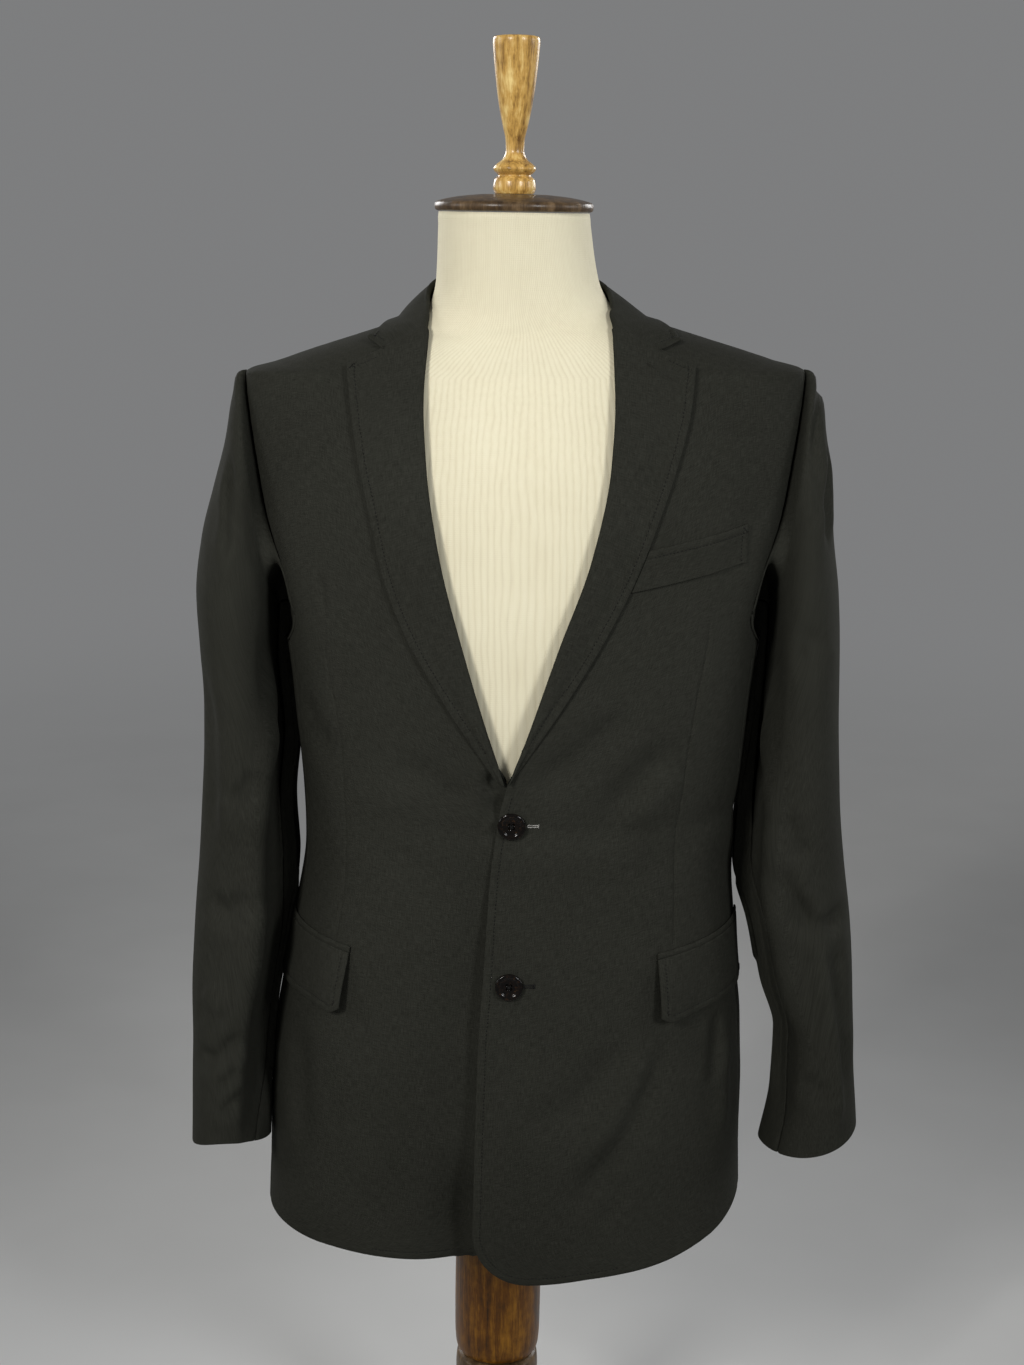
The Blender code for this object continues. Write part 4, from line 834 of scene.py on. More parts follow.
DARTS = {  # height, ring angle
    "left": ((0.6, -48.6), (0.655, -47.5), (0.703, -47.8), (0.785, -46.5), (0.846, -45.2), (0.867, -46.2)),
    "right": ((0.6, -41.0), (0.72, -41.2), (0.752, -41.5), (0.788, -40.8), (0.817, -39.5), (0.871, -41.8)),
}
DART_SPAN = {"left": (0.598, 0.862), "right": (0.598, 0.846)}
DART_DEPTH = {"left": 0.0009, "right": 0.0005}


def make_front(side):
    level = hem_levels(FRONT_TOP_Z, (JOIN_Z[-1], CHEST_Z[-1], SHOULDER_TIP_Z, GORGE_Z), FRONT_FOOT)
    z_front = row_z(side, level, -90.0)
    start = front_edge_angle(side, z_front, z_front - HEM_Z - hem_rise[side](-90.0))
    gorge = angle_at(roll_x[side](GORGE_Z) + ROLL_SETBACK, GORGE_Z)
    over = (z_front - GORGE_Z) / (NECK_SEAM_SIDE_Z - GORGE_Z)
    start = np.where(z_front > GORGE_Z, mix(gorge, 0.0, over), start)
    end = side_edge(row_z(side, level, SEAM_PLACES[-1]), -1) - SEAM_ANGLE
    end = np.where(level >= SHOULDER_TIP_Z, -SHOULDER_SEAM_ANGLE, end)
    dart = column(DARTS[side], 1)(level)
    angles = lay_columns(level, start, end, EDGE_STEPS, SEAM_STEPS, dart)
    z = row_z(side, level[:, None], angles)
    lift = CLOTH + lap_lift(side, ring_point(angles, z)[..., 0], z)
    grid = surface(angles, z, lift)
    half_way = len(level) // 2
    seat = int(np.argmin(np.abs(angles[half_way] - dart[half_way])))

    def relief(points, normals, across):
        height = body_relief(points, normals, side, under=side == "right")
        off = across - across[:, seat : seat + 1]
        low, high = DART_SPAN[side]
        live = between(points[..., 2], low - 0.004, low + 0.004, high - 0.02, high + 0.01)
        return height - DART_DEPTH[side] * live * (bell(off, 0.0011) + 0.5 * bell(off, 0.005))

    below = np.flatnonzero(z_front < BREAK_Z)[::-1]
    path = [(r, 0) for r in below] + [(0, c) for c in range(1, grid.shape[1])]
    return shell("cloth_front_" + side, grid, CLOTH, side, relief, "zt", np.array(path))


def panel(name, grid, thickness, side, seams, stitched=None):
    """A shell that has the body's folds and nothing else."""
    return shell(name, grid, thickness, side, lambda p, n, across: body_relief(p, n, side), seams, stitched)


def make_side(side):
    top = SIDE_TOP_Z + 0.03
    level = hem_levels(top)
    start = seam_angle(row_z(side, level, SEAM_PLACES[-1]), -1) + SEAM_ANGLE
    end = seam_angle(row_z(side, level, SEAM_PLACES[1]), 1) - SEAM_ANGLE
    angles = lay_columns(level, start, end, SEAM_STEPS, SEAM_STEPS)
    z = row_z(side, level[:, None], angles)
    share = np.clip((level[:, None] - SIDE_TOP_Z) / (top - SIDE_TOP_Z), 0.0, 1.0)
    z = np.where(share > 0.0, mix(SIDE_TOP_Z, underarm_height(angles), share), z)
    panel("cloth_side_" + side, surface(angles, z, CLOTH), CLOTH, side, "azt")


def make_back(side):
    top = NECK_SEAM_BACK_Z
    level = hem_levels(top, (JOIN_Z[1], CHEST_Z[1], SHOULDER_TIP_Z))
    start = side_edge(row_z(side, level, SEAM_PLACES[1]), 1) + SEAM_ANGLE
    start = np.where(level >= SHOULDER_TIP_Z, SHOULDER_SEAM_ANGLE, start)
    end = np.full(len(level), 90.0 - BACK_SEAM_ANGLE)
    angles = lay_columns(level, start, end, SEAM_STEPS, SEAM_STEPS)
    z = row_z(side, level[:, None], angles)
    share = np.clip((level[:, None] - BACK_TOP_Z) / (top - BACK_TOP_Z), 0.0, 1.0)
    seam = mix(NECK_SEAM_SIDE_Z, NECK_SEAM_BACK_Z, smooth_step(angles, 0.0, 90.0)) - 0.0005
    z = np.where(share > 0.0, mix(BACK_TOP_Z, seam, share), z)
    panel("cloth_back_" + side, surface(angles, z, CLOTH), CLOTH, side, "azt")


# ---- sleeves ---------------------------------------------------------------------------------

SLEEVE_SEAM_ANGLE = 0.6  # half the gap between the two halves, in degrees
SLEEVE_COLUMNS = {"top_sleeve": 66, "under_sleeve": 34}
SLEEVE_SEAM_STEPS = np.array((0.0, 0.5, 1.2, 2.2, 3.6, 5.6))
SLEEVE_HEAD_STEPS = (0.0, 0.0006, 0.0014, 0.0026, 0.0042, 0.0062, 0.0084)
SLEEVE_HEM_STEPS = np.array((0.0018, 0.0008, 0.0))
SLEEVE_PITCH = 0.0036
SLEEVE_RUN_ANGLE = 60.0  # its rows are spaced along the line at this angle
ROPE = 0.0016  # the roll of the sleeve head beside the armhole seam
ROPE_AT = 0.009


def make_sleeve_half(part, side, start, end):
    """One half of a sleeve between two angles from its outer line round the front."""
    head, tail = start + SLEEVE_SEAM_STEPS, end - SLEEVE_SEAM_STEPS[::-1]
    angles = np.concatenate([head, np.linspace(head[-1], tail[0], SLEEVE_COLUMNS[part])[1:-1], tail])
    keys = np.linspace(-1.0, len(SLEEVE_RINGS[side]) - 1.0, 800)
    run = run_along(sleeve_point(side, keys, np.full(len(keys), SLEEVE_RUN_ANGLE)))
    rows = np.linspace(0.0108, run[-1] - 0.003, int(run[-1] / SLEEVE_PITCH))
    at = np.concatenate([SLEEVE_HEAD_STEPS, rows, run[-1] - SLEEVE_HEM_STEPS])
    s = np.interp(at, run, keys)
    grid = sleeve_point(side, s[:, None], angles[None, :])

    def place(angle, ring):
        return sleeve_point(side, ring, angle)

    def relief(points, normals, across):
        height = SLEEVE_FOLD_GAIN * fold_height(points, normals, SLEEVE_FOLDS[side], place)
        down = lengths(points, 0)
        outward = np.clip(np.cos(np.radians(angles)), 0.0, 1.0)[None, :]
        fade = smooth_step(down, 0.004, 0.03)
        rope = ROPE * outward * bell(down - ROPE_AT, 0.007)
        return (height + 1.2 * drape(points + 0.3)) * fade + rope

    shell(f"cloth_{part}_{side}", grid, CLOTH, side, relief, "az")


def make_sleeve(side):
    front, back = SLEEVE_SEAMS
    gap = SLEEVE_SEAM_ANGLE
    make_sleeve_half("top_sleeve", side, back - 360.0 + gap, front - gap)
    make_sleeve_half("under_sleeve", side, front + gap, back - gap)


# ---- lapels and collar -----------------------------------------------------------------------

NOTCH_SHARE = 0.5
LAPEL_HALF = 10  # columns from the roll to the notch
LAPEL_ROLL = 0.0022  # how far the lapel swells between its roll and its edge
COLLAR_CLEAR = 0.0044
FOLD_RADIUS = 0.0021
FALL_BULGE = 0.0025
FALL_SHARES = np.concatenate([np.linspace(0.0, 1.0, 23)[1:-3], (0.89, 0.93, 0.96, 0.98, 0.991, 1.0)])
GORGE_GAP = 0.0007
CURL_TURNS = (245.0, 220.0, 195.0, 170.0, 145.0, 120.0, 103.0)
LAPEL_ROWS = 128
LAPEL_CROWD = 1.15  # above 1 its rows lie closer toward the top
LAPEL_HEAD_STEPS = np.array((0.0022, 0.001, 0.0))  # the last rows, as shares of the lapel's height
COLLAR_ROWS = 104
STAND_COLUMNS = 9
FOLD_COLUMNS = 9
COLLAR_HEAD_STEPS = np.array((0.0, 0.0012, 0.003, 0.0056))
COLLAR_TIP_LIFT = COLLAR_CLEAR + 0.0024
COLLAR_STITCHED = 14  # rows and columns at each end with a stitched edge

gorges = {}  # the top row of each lapel: its roll, and from the roll to the notch


def lapel_lift(z, share):
    """How far the lapel stands off the forepart; share runs from the roll to the edge."""
    swell = LAPEL_ROLL * np.sin(math.pi * np.minimum(1.0, 0.15 + 1.3 * share))
    lifted = 0.001 * smooth_step(share, 0.62, 1.0) * smooth_step(z, 0.76, 0.8)
    upper = 0.0013 * smooth_step(z, 0.95, 1.03)
    return LAY + upper + swell * (1.0 - smooth_step(z, 1.0, 1.06)) + lifted


def lapel_shares(width, radius):
    """Places of the lapel's columns in each row, from 0 at the roll line to 1 at the edge."""
    steps = np.array(EDGE_STEPS)
    rows = []
    for w, r in zip(width, radius):
        tail = 1.0 - steps[::-1] * min(1.0, 0.45 * w / steps[-1]) / w
        inner = np.linspace(min(r, 0.3 * w) / w, NOTCH_SHARE, LAPEL_HALF)[:-1]
        outer = np.linspace(NOTCH_SHARE, tail[0], LAPEL_HALF)[:-1]
        rows.append(np.concatenate([inner, outer, tail]))
    return np.array(rows)


def make_lapel(side):
    edge = LAPEL_EDGE[side]
    outer_x = column(edge, 0, key=1)
    u = 1.0 - (1.0 - np.linspace(0.0, 1.0, LAPEL_ROWS)) ** LAPEL_CROWD
    u = np.concatenate([u[:-1], 1.0 - LAPEL_HEAD_STEPS])
    roll_z = mix(edge[0][1] - 0.001, LAPEL_TOP_Z, u)
    edge_z = mix(edge[0][1], edge[-1][1], u)
    roll, rim = roll_x[side](roll_z), outer_x(edge_z)
    width = np.hypot(rim - roll, edge_z - roll_z)
    radius = ROLL_RADIUS * (0.25 + 0.75 * smooth_step(u, 0.0, 0.08))
    share = lapel_shares(width, radius)
    x = mix(roll[:, None], rim[:, None], share)
    z = mix(roll_z[:, None], edge_z[:, None], share)
    bend = (1.0 - np.abs(share - NOTCH_SHARE) / NOTCH_SHARE) * smooth_step(u, 0.7, 1.0)[:, None]
    notch_x, notch_z = NOTCH[side]
    x = x + (notch_x - mix(roll, rim, NOTCH_SHARE))[:, None] * bend
    z = z + (notch_z - mix(roll_z, edge_z, NOTCH_SHARE))[:, None] * bend
    lift = CLOTH + lap_lift(side, x, z) + lapel_lift(z, share) + COLLAR_CLOTH
    face = front_surface(x, z, lift)
    # the roll: round behind the front of the lapel to the forepart's edge
    top = lift[:, :1]
    r = np.minimum(radius[:, None], 0.5 * top)
    turns = np.radians(CURL_TURNS)[None, :]
    curl_x = x[:, :1] + r * np.cos(turns)
    curl = front_surface(curl_x, z[:, :1], (top - r) + r * np.sin(turns))
    gorges[side] = curl[-1], face[-1, :LAPEL_HALF]
    grid = np.concatenate([curl, face], axis=1)

    def relief(points, normals, across):
        return body_relief(points, normals, side) * np.clip((across - 0.008) / 0.02, 0.0, 1.0)

    return shell("cloth_lapel_" + side, grid, COLLAR_CLOTH, side, relief, "", lapel_path(grid, 0))


def lapel_path(grid, first):
    """Up the lapel's edge from a row and along its top to the gorge."""
    rows, cols = grid.shape[:2]
    up = [(k, cols - 1) for k in range(first, rows)]
    return np.array(up + [(rows - 1, c) for c in range(cols - 2, cols // 2, -1)])


def shoulder_height(x, y):
    """Height of the body's surface over a place in the plan."""
    low, high = np.full(x.shape, 0.95), np.full(x.shape, CAP_Z)
    for _ in range(40):
        z = 0.5 * (low + high)
        outside = ring_excess(np.stack([x, y, z], -1)) > 0.0
        low, high = np.where(outside, low, z), np.where(outside, z, high)
    return low


def collar_stand(angle, fold_z):
    """The collar's stand from the neck seam up, and the fold at its top."""
    middle = angle_at(0.5 * (ROLL_LINE[-1][1] + ROLL_LINE[-1][2]), GORGE_Z)
    before = mix(NECK_SEAM_SIDE_Z, GORGE_Z, np.minimum(1.0, angle / middle))
    behind = mix(NECK_SEAM_SIDE_Z, NECK_SEAM_BACK_Z, smooth_step(angle, 0.0, 90.0))
    seam_z = np.where(angle > 0.0, behind + 0.0008, before + 0.0022)
    seam_z = np.minimum(seam_z, fold_z - 2.2 * FOLD_RADIUS)
    up = np.linspace(0.0, 1.0, STAND_COLUMNS)[None, :]
    stand = surface(angle, mix(seam_z, fold_z - FOLD_RADIUS, up))
    turn = np.radians(np.linspace(0.0, 180.0, FOLD_COLUMNS))[None, 1:]
    fold_top = fold_z - FOLD_RADIUS * (1.0 - np.sin(turn))
    return stand, surface(angle, fold_top, FOLD_RADIUS * (1.0 - np.cos(turn)))


def joined_to_lapel(side, stand, fold, fall, ease):
    """The three parts of the collar, each led to the lapel's gorge where ease nears 1."""
    roll, top = gorges[side]
    along = run_along(top)
    past_notch = FALL_SHARES / NOTCH_SHARE
    tip = surface(*COLLAR_TIP[side], COLLAR_TIP_LIFT)
    goal = points_at(np.minimum(1.0, past_notch) * along[-1], along, top)
    goal = goal + (tip - top[-1]) * np.maximum(0.0, past_notch - 1.0)[:, None]
    run = unit(top[-1] - top[0])
    upward = unit(np.cross(run, surface_normal(angle_at(top[4, 0], top[4, 2]), top[4, 2])))
    upward = upward * math.copysign(1.0, upward[2]) * GORGE_GAP
    fall = fall + (goal + upward - fall[:1]) * ease
    knots = np.linspace(0.0, len(roll) - 1.0, fold.shape[1])
    shift = points_at(knots, np.arange(len(roll)), roll) + upward - fold[:1]
    rising = np.linspace(0.0, 1.0, stand.shape[1])[None, :, None] ** 2
    return stand + shift[:, :1] * ease * rising, fold + shift * ease, fall


def collar_half(side):
    """The collar's face on one side, from the gorge to the centre back."""
    share = 1.0 - np.concatenate([COLLAR_HEAD_STEPS, np.linspace(0.0, 1.0, COLLAR_ROWS)[1:]])
    at = (len(COLLAR_STATIONS) - 1.0) * share
    angle, fold_z, edge_x, edge_y = (field(at)[:, None] for field in fields(COLLAR_STATIONS))
    gorge = smooth_step(share, 0.66, 1.0)[:, None]
    stand, fold = collar_stand(angle + COLLAR_END_SHIFT[side] * gorge, fold_z)
    edge = np.concatenate([edge_x, edge_y, shoulder_height(edge_x, edge_y)], axis=1)[:, None]
    fall = mix(fold[:, -1:], edge, FALL_SHARES[None, :, None])
    fall[..., 2] += FALL_BULGE * np.sin(math.pi * FALL_SHARES) * (1.0 - gorge)
    ease = smooth_step(share, 0.8, 1.0)[:, None, None]
    stand, fold, fall = joined_to_lapel(side, stand, fold, fall, ease)
    return np.concatenate([stand, fold, pushed_clear(fall, COLLAR_CLEAR)], axis=1)


def make_collar():
    """The collar, and the paths of the stitched edges at its two ends."""
    grid = np.concatenate([collar_half("left"), flip(collar_half("right")[::-1][1:], "right")], axis=0)
    rows, cols = grid.shape[:2]
    edge = [(r, cols - 1) for r in range(COLLAR_STITCHED, 0, -1)]
    path = np.array(edge + [(0, c) for c in range(cols - 1, cols - COLLAR_STITCHED, -1)])
    made = shell("cloth_collar", grid, COLLAR_CLOTH, "left", lambda p, n, across: 0.0 * across, "", path)
    return made, path, np.column_stack([rows - 1 - path[:, 0], path[:, 1]])


# ---- pockets ---------------------------------------------------------------------------------

FLAP_FRONT = {"left": 0.115, "right": 0.131}  # distance from the centre front
FLAP_BACK = -6.0  # ring angle
FLAP_TOP_Z = {"left": 0.5875, "right": 0.59}
FLAP_RISE = 0.01  # from front to back
FLAP_TALL = {"left": 0.052, "right": 0.049}
FLAP_SLANT = {"left": -0.5, "right": -1.6}  # how far the foot goes forward, in degrees
FLAP_SIZE = (0.115, 0.049)  # for the spacing of its columns and rows
FLAP_STAND_OFF = 0.0076
JET_RISE = 0.0006
JET_TALL = 0.0045
PATCH_PITCH = 0.003
POCKET_CLOTH = 0.0016
WELT_CLEAR = 0.0014  # from the lapel's edge
WELT_BACK_X = 0.1715
WELT_FOOT_Z = 0.89
WELT_RISE = 0.017
WELT_TALL = (0.031, 0.029)  # at the front and at the back
WELT_SIZE = (0.09, 0.03)


def edge_to_edge(steps, size, fewest=0):
    """Shares of a size, with these steps at both ends and even ones between."""
    count = max(fewest, int(size / PATCH_PITCH))
    even = np.linspace(steps[-1], size - steps[-1], count)[1:-1]
    return np.concatenate([steps, even, size - steps[::-1]]) / size


def patch(name, side, corners, low, thickness, size, stitched, extra):
    """A thin piece that lies on a forepart.

    corners(u, v) gives its ring angles and heights, extra(u, v) how far it stands off; stitched names
    its borders with a turned edge, in order.
    """
    steps = np.array(EDGE_STEPS)
    width, tall = size
    u = edge_to_edge(steps, width)
    v = edge_to_edge(steps * min(1.0, 0.45 * tall / steps[-1]), tall, 4)
    u, v = np.broadcast_arrays(u[None, :], v[:, None])
    angle, z = corners(u, v)
    lift = CLOTH + lap_lift(side, ring_point(angle, z)[..., 0], z) + low + thickness + extra(u, v)
    rows, cols = u.shape
    borders = {
        "front": [(r, 0) for r in range(rows - 1, 0, -1)],
        "foot": [(0, c) for c in range(cols)],
        "back": [(r, cols - 1) for r in range(1, rows)],
        "top": [(rows - 1, c) for c in range(cols)],
        "back_down": [(r, cols - 1) for r in range(rows - 2, 0, -1)],
    }
    path = np.array([spot for key in stitched for spot in borders[key]]) if stitched else None
    return panel(name, surface(angle, z, lift), thickness, side, "", path), path


def flap_top(side, u):
    top = FLAP_TOP_Z[side]
    return mix(float(angle_at(FLAP_FRONT[side], top)), FLAP_BACK, u), top + FLAP_RISE * u


def flap_end(u):
    """Flaps and jets lie closer at their back end."""
    return smooth_step(u, 0.8, 0.97)


def make_flap(side):
    def corners(u, v):
        angle, top = flap_top(side, u)
        round_off = 0.006 * np.clip(1.0 - 10.0 * u, 0.0, 1.0) ** 2
        angle = angle + FLAP_SLANT[side] * (1.0 - v) * (1.0 - u)
        return angle, top - FLAP_TALL[side] * (1.0 - v) + round_off * (1.0 - v)

    def stand_off(u, v):
        front = FLAP_STAND_OFF * (1.0 - smooth_step(u, 0.0, 0.34)) * np.sin(0.5 * math.pi * (1.0 - v))
        return front + 0.001 * (1.0 - v) ** 2 - 0.001 * flap_end(u)

    stitched = ("front", "foot", "back")
    return patch("cloth_flap_" + side, side, corners, LAY, CLOTH, FLAP_SIZE, stitched, stand_off)


def make_jet(side):
    def corners(u, v):
        angle, top = flap_top(side, u)
        return angle, top + JET_RISE + JET_TALL * v

    def rounding(u, v):
        return 0.0005 * np.sin(math.pi * v) - 0.0005 - 0.0004 * flap_end(u)

    size = (FLAP_SIZE[0], JET_TALL)
    return patch("cloth_jet_" + side, side, corners, LAY, POCKET_CLOTH, size, (), rounding)


def make_welt():
    beside = column(LAPEL_EDGE["left"], 0, key=1)

    def corners(u, v):
        z = WELT_FOOT_Z + WELT_RISE * u + mix(*WELT_TALL, u) * v
        x = mix(beside(z) + WELT_CLEAR, WELT_BACK_X + 0.0012 * v, u)
        return angle_at(x, z), z

    def swell(u, v):
        return 0.0009 * smooth_step(v, 0.4, 1.0) * np.sin(math.pi * u)

    stitched = ("top", "back_down")
    return patch("cloth_breast_welt", "left", corners, 0.0005, POCKET_CLOTH, WELT_SIZE, stitched, swell)


# ---- thread ----------------------------------------------------------------------------------

THREAD_RADIUS = 0.0003
STITCH_PITCH = 0.0031
STITCH_LENGTH = 0.0017
STITCH_SPOTS = np.array((0.0, 0.18, 0.5, 0.82, 1.0))  # along a stitch, and its rise there:
STITCH_RISE = THREAD_RADIUS * np.array((-1.3, 0.2, 0.5, 0.2, -1.3))
HOLE_POINTS = 220
HOLE_TURNS = 74  # of the thread round a buttonhole
HOLE_HALF_GAP = 0.00095
HOLE_THREAD = 0.0006
BAR_HALF = 0.0019
BAR_THREAD = 0.00055


def circle(sides):
    return 2.0 * math.pi * np.arange(sides) / sides


def round_faces(rows, sides, outward, closed=False):
    """Faces of rings of points laid out row by row, with a cap at both ends unless they close."""
    index = np.arange(rows * sides).reshape(rows, sides)
    one = index if closed else index[:-1]
    two = np.roll(index, -1, 0) if closed else index[1:]
    corners = [one, np.roll(one, -1, 1), np.roll(two, -1, 1), two]
    if not outward:
        corners = corners[:1] + corners[:0:-1]
    quads = np.stack(corners, -1).reshape(-1, 4)
    way = -1 if outward else 1
    return [quads] if closed else [quads, index[:1, ::way], index[-1:, ::-way]]


def tube(path, radius, normals, sides=7, closed=False):
    """Points and faces of a tube round a path; radius may change along it."""
    along = unit(np.roll(path, -1, 0) - np.roll(path, 1, 0) if closed else np.gradient(path, axis=0))
    across = unit(np.cross(along, normals))[:, None]
    up = np.cross(across[:, 0], along)[:, None]
    a = circle(sides)[None, :, None]
    ring = across * np.cos(a) + up * np.sin(a)
    points = path[:, None] + ring * np.broadcast_to(radius, (len(path),))[:, None, None]
    return points.reshape(-1, 3), round_faces(len(path), sides, False, closed)


def merged(parts):
    """Points and faces of many point and face sets."""
    points, faces, start = [], {}, 0
    for p, groups in parts:
        points.append(p)
        for g in groups:
            faces.setdefault(g.shape[1], []).append(g + start)
        start += len(p)
    return np.concatenate(points), [np.concatenate(g) for g in faces.values()]


def sewn(name, parts, look, side="left"):
    """One object from many threads of the unworn garment."""
    points, groups = merged(parts)
    if side == "right":
        groups = [g[:, ::-1] for g in groups]
    dress(make_object(name, worn(flip(points, side)), groups), look)


def stitches(made, path, begin):
    """Short threads along a border of a shell, sunk at both ends."""
    outer, normals = made.outer, made.normals
    r, c = path.T
    rows, cols = outer.shape[:2]
    border = outer[r, c]
    run = run_along(border)
    inward = unit(np.cross(normals[r, c], unit(np.gradient(border, axis=0))))
    half_way = len(border) // 2
    if (outer[rows // 2, cols // 2] - border[half_way]) @ inward[half_way] < 0.0:
        inward = -inward
    line = border + inward * STITCH_INSET
    parts = []
    flat, ups = outer.reshape(-1, 3), normals.reshape(-1, 3)
    for k, at in enumerate(np.arange(begin, run[-1] - STITCH_LENGTH, STITCH_PITCH)):
        p = points_at(at + 0.0003 * math.sin(7.1 * k) + STITCH_LENGTH * STITCH_SPOTS, run, line)
        seat = int(((flat - p[2]) ** 2).sum(1).argmin())
        n = ups[seat]
        p = p - n * ((p - flat[seat]) @ n)[:, None] + n * STITCH_RISE[:, None]
        parts.append(tube(p, THREAD_RADIUS, np.broadcast_to(n, p.shape), 6))
    return parts


def buttonhole(ends, lift, name, slim, look):
    """Worked lips and bar of a slit on the left forepart or lapel; ends are ring angles and heights."""
    (a0, z0), (a1, z1) = ends
    angles, heights = np.array((a0, a1)), np.array((z0, z1))
    spots, ups = surface(angles, heights, lift), surface_normal(angles, heights)
    spots = spots + ups * body_relief(spots, ups, "left")[:, None]
    axis, n = unit(spots[1] - spots[0]), unit(ups.sum(0))
    across = np.cross(n, axis)
    middle = 0.5 * (spots[0] + spots[1])
    half = 0.5 * np.linalg.norm(spots[1] - spots[0])
    a = circle(HOLE_POINTS)
    bend = np.sign(np.cos(a)) * np.abs(np.cos(a)) ** 0.32
    side_way = np.sign(np.sin(a)) * np.abs(np.sin(a)) ** 0.32
    loop = middle + axis * (half * bend)[:, None] + across * (HOLE_HALF_GAP * slim * side_way)[:, None]
    radius = HOLE_THREAD * slim * (1.0 + 0.13 * np.sin(HOLE_TURNS * a))
    lips = tube(loop + n * 0.0001, radius, np.broadcast_to(n, loop.shape), 8, closed=True)
    along_bar = slim * np.linspace(-BAR_HALF, BAR_HALF, 9)[:, None]
    bar = middle + axis * (half + 0.0003) + across * along_bar + n * 0.0003 * slim
    sewn(name, [lips, tube(bar, BAR_THREAD * slim, np.broadcast_to(n, bar.shape), 8)], look)


# ---- turned pieces and buttons ---------------------------------------------------------------

PROFILE_POINTS = 5  # between two points of a profile


def turned(name, profile, look, sides=96):
    """A turned piece; its profile is read upward as (radius, height)."""
    profile = np.array(profile)
    run = run_along(profile)
    shares = np.linspace(0.0, 1.0, PROFILE_POINTS)
    at = np.unique(np.concatenate([mix(a, b, shares) for a, b in zip(run, run[1:])]))
    radius, z = (curve_through(run, values)(at)[:, None] for values in profile.T)
    a = circle(sides)
    points = np.stack([radius * np.cos(a), radius * np.sin(a), np.repeat(z, sides, 1)], -1)
    thing = make_object(name, points.reshape(-1, 3), round_faces(len(radius), sides, True))
    dress(thing, look)
    return thing


BUTTON_RADIUS = 0.011
BUTTON_HEIGHT = 0.0036
BUTTON_FACE = (  # across the face from the middle outward, and down the side to the back
    (0.0, 0.6), (0.3, 0.61), (0.52, 0.64), (0.62, 0.7), (0.7, 0.88), (0.79, 0.98), (0.88, 1.0),
    (0.95, 0.93), (0.99, 0.78), (1.0, 0.62), (0.97, 0.48), (0.88, 0.39), (0.6, 0.33), (0.4, 0.25),
    (0.34, 0.02),
)
BUTTON_RINGS = 70
BUTTON_SIDES = 96
BUTTON_LIFT = CLOTH + LAP_LIFT + 0.0007
BUTTON_HOLE_SPREAD = 0.0021
BUTTON_HOLE_RADIUS = 0.001
BUTTON_HOLE_DEPTH = 0.0016
BUTTON_HOLE_RINGS = 40  # only the face's rings have holes, not the back's
BUTTON_THREADS = ((45.0, 225.0, 0.0), (135.0, 315.0, 0.00025))  # from hole to hole, and rise
BUTTON_THREAD_RADIUS = 0.00026
BUTTON_STRANDS = (-0.00022, 0.00022)
SHANK_RADIUS = 0.0026
BUTTONS = {"upper": (-0.0069, 0.7056), "lower": (-0.0024, 0.5741)}


def button_points():
    """Rings of the button's points, lying flat, with its four holes sunk in."""
    face = np.array(BUTTON_FACE)
    run = run_along(face * (1.0, 0.33))
    at = np.linspace(0.0, run[-1], BUTTON_RINGS)
    radius = curve_through(run, face[:, 0])(at)[:, None] * BUTTON_RADIUS
    height = curve_through(run, face[:, 1])(at)[:, None] * BUTTON_HEIGHT
    radius[0] = 0.00006
    a = circle(BUTTON_SIDES)
    x, y = radius * np.cos(a), radius * np.sin(a)
    pit = np.zeros_like(x)
    for turn in np.radians((45.0, 135.0, 225.0, 315.0)):
        gap = np.hypot(x - BUTTON_HOLE_SPREAD * math.cos(turn), y - BUTTON_HOLE_SPREAD * math.sin(turn))
        inner, outer = 0.72 * BUTTON_HOLE_RADIUS, 1.18 * BUTTON_HOLE_RADIUS
        pit = np.maximum(pit, 1.0 - smooth_step(gap, inner, outer))
    pit[BUTTON_HOLE_RINGS:] = 0.0
    return np.stack([x, y, height - BUTTON_HOLE_DEPTH * pit], -1)


def make_button(name):
    """A horn button and its crossed threads, square to the forepart."""
    x, z = BUTTONS[name]
    n = surface_normal(angle_at(x, z), np.float64(z))
    base = front_surface(x, z, BUTTON_LIFT)
    seat = worn(base + n * body_relief(base[None], n[None], "left")[0])
    away = unit(worn(base + n * 0.01) - worn(base))
    spin = np.array(Vector((0.0, 0.0, 1.0)).rotation_difference(Vector(away)).to_matrix())

    def placed(points):
        return seat + points @ spin.T

    points = placed(button_points()).reshape(-1, 3)
    thing = make_object("horn_button_" + name, points, round_faces(BUTTON_RINGS, BUTTON_SIDES, False))
    dress(thing, "horn")
    parts = []
    t = np.linspace(0.0, 1.0, 9)
    for turn_a, turn_b, rise in BUTTON_THREADS:
        turns = np.radians((turn_a, turn_b))
        start, end = BUTTON_HOLE_SPREAD * np.column_stack([np.cos(turns), np.sin(turns)])
        for off in BUTTON_STRANDS:
            flat = mix(start, end, t[:, None]) + off * np.array((-start[1], start[0])) / BUTTON_HOLE_SPREAD
            arch = 0.62 * BUTTON_HEIGHT + 0.0004 + rise + 0.0002 * np.sin(math.pi * t)
            arch[[0, -1]] -= 0.0012
            path = placed(np.column_stack([flat, arch]))
            parts.append(tube(path, BUTTON_THREAD_RADIUS, np.broadcast_to(away, path.shape)))
    shank = placed(np.column_stack([np.zeros((6, 2)), np.linspace(-0.0005, 0.0006, 6)]))
    parts.append(tube(shank, SHANK_RADIUS, np.broadcast_to(spin[:, 0], shank.shape), 20))
    dress(make_object("thread_button_" + name, *merged(parts)), "silk")
    return thing


# ---- dress form ------------------------------------------------------------------------------

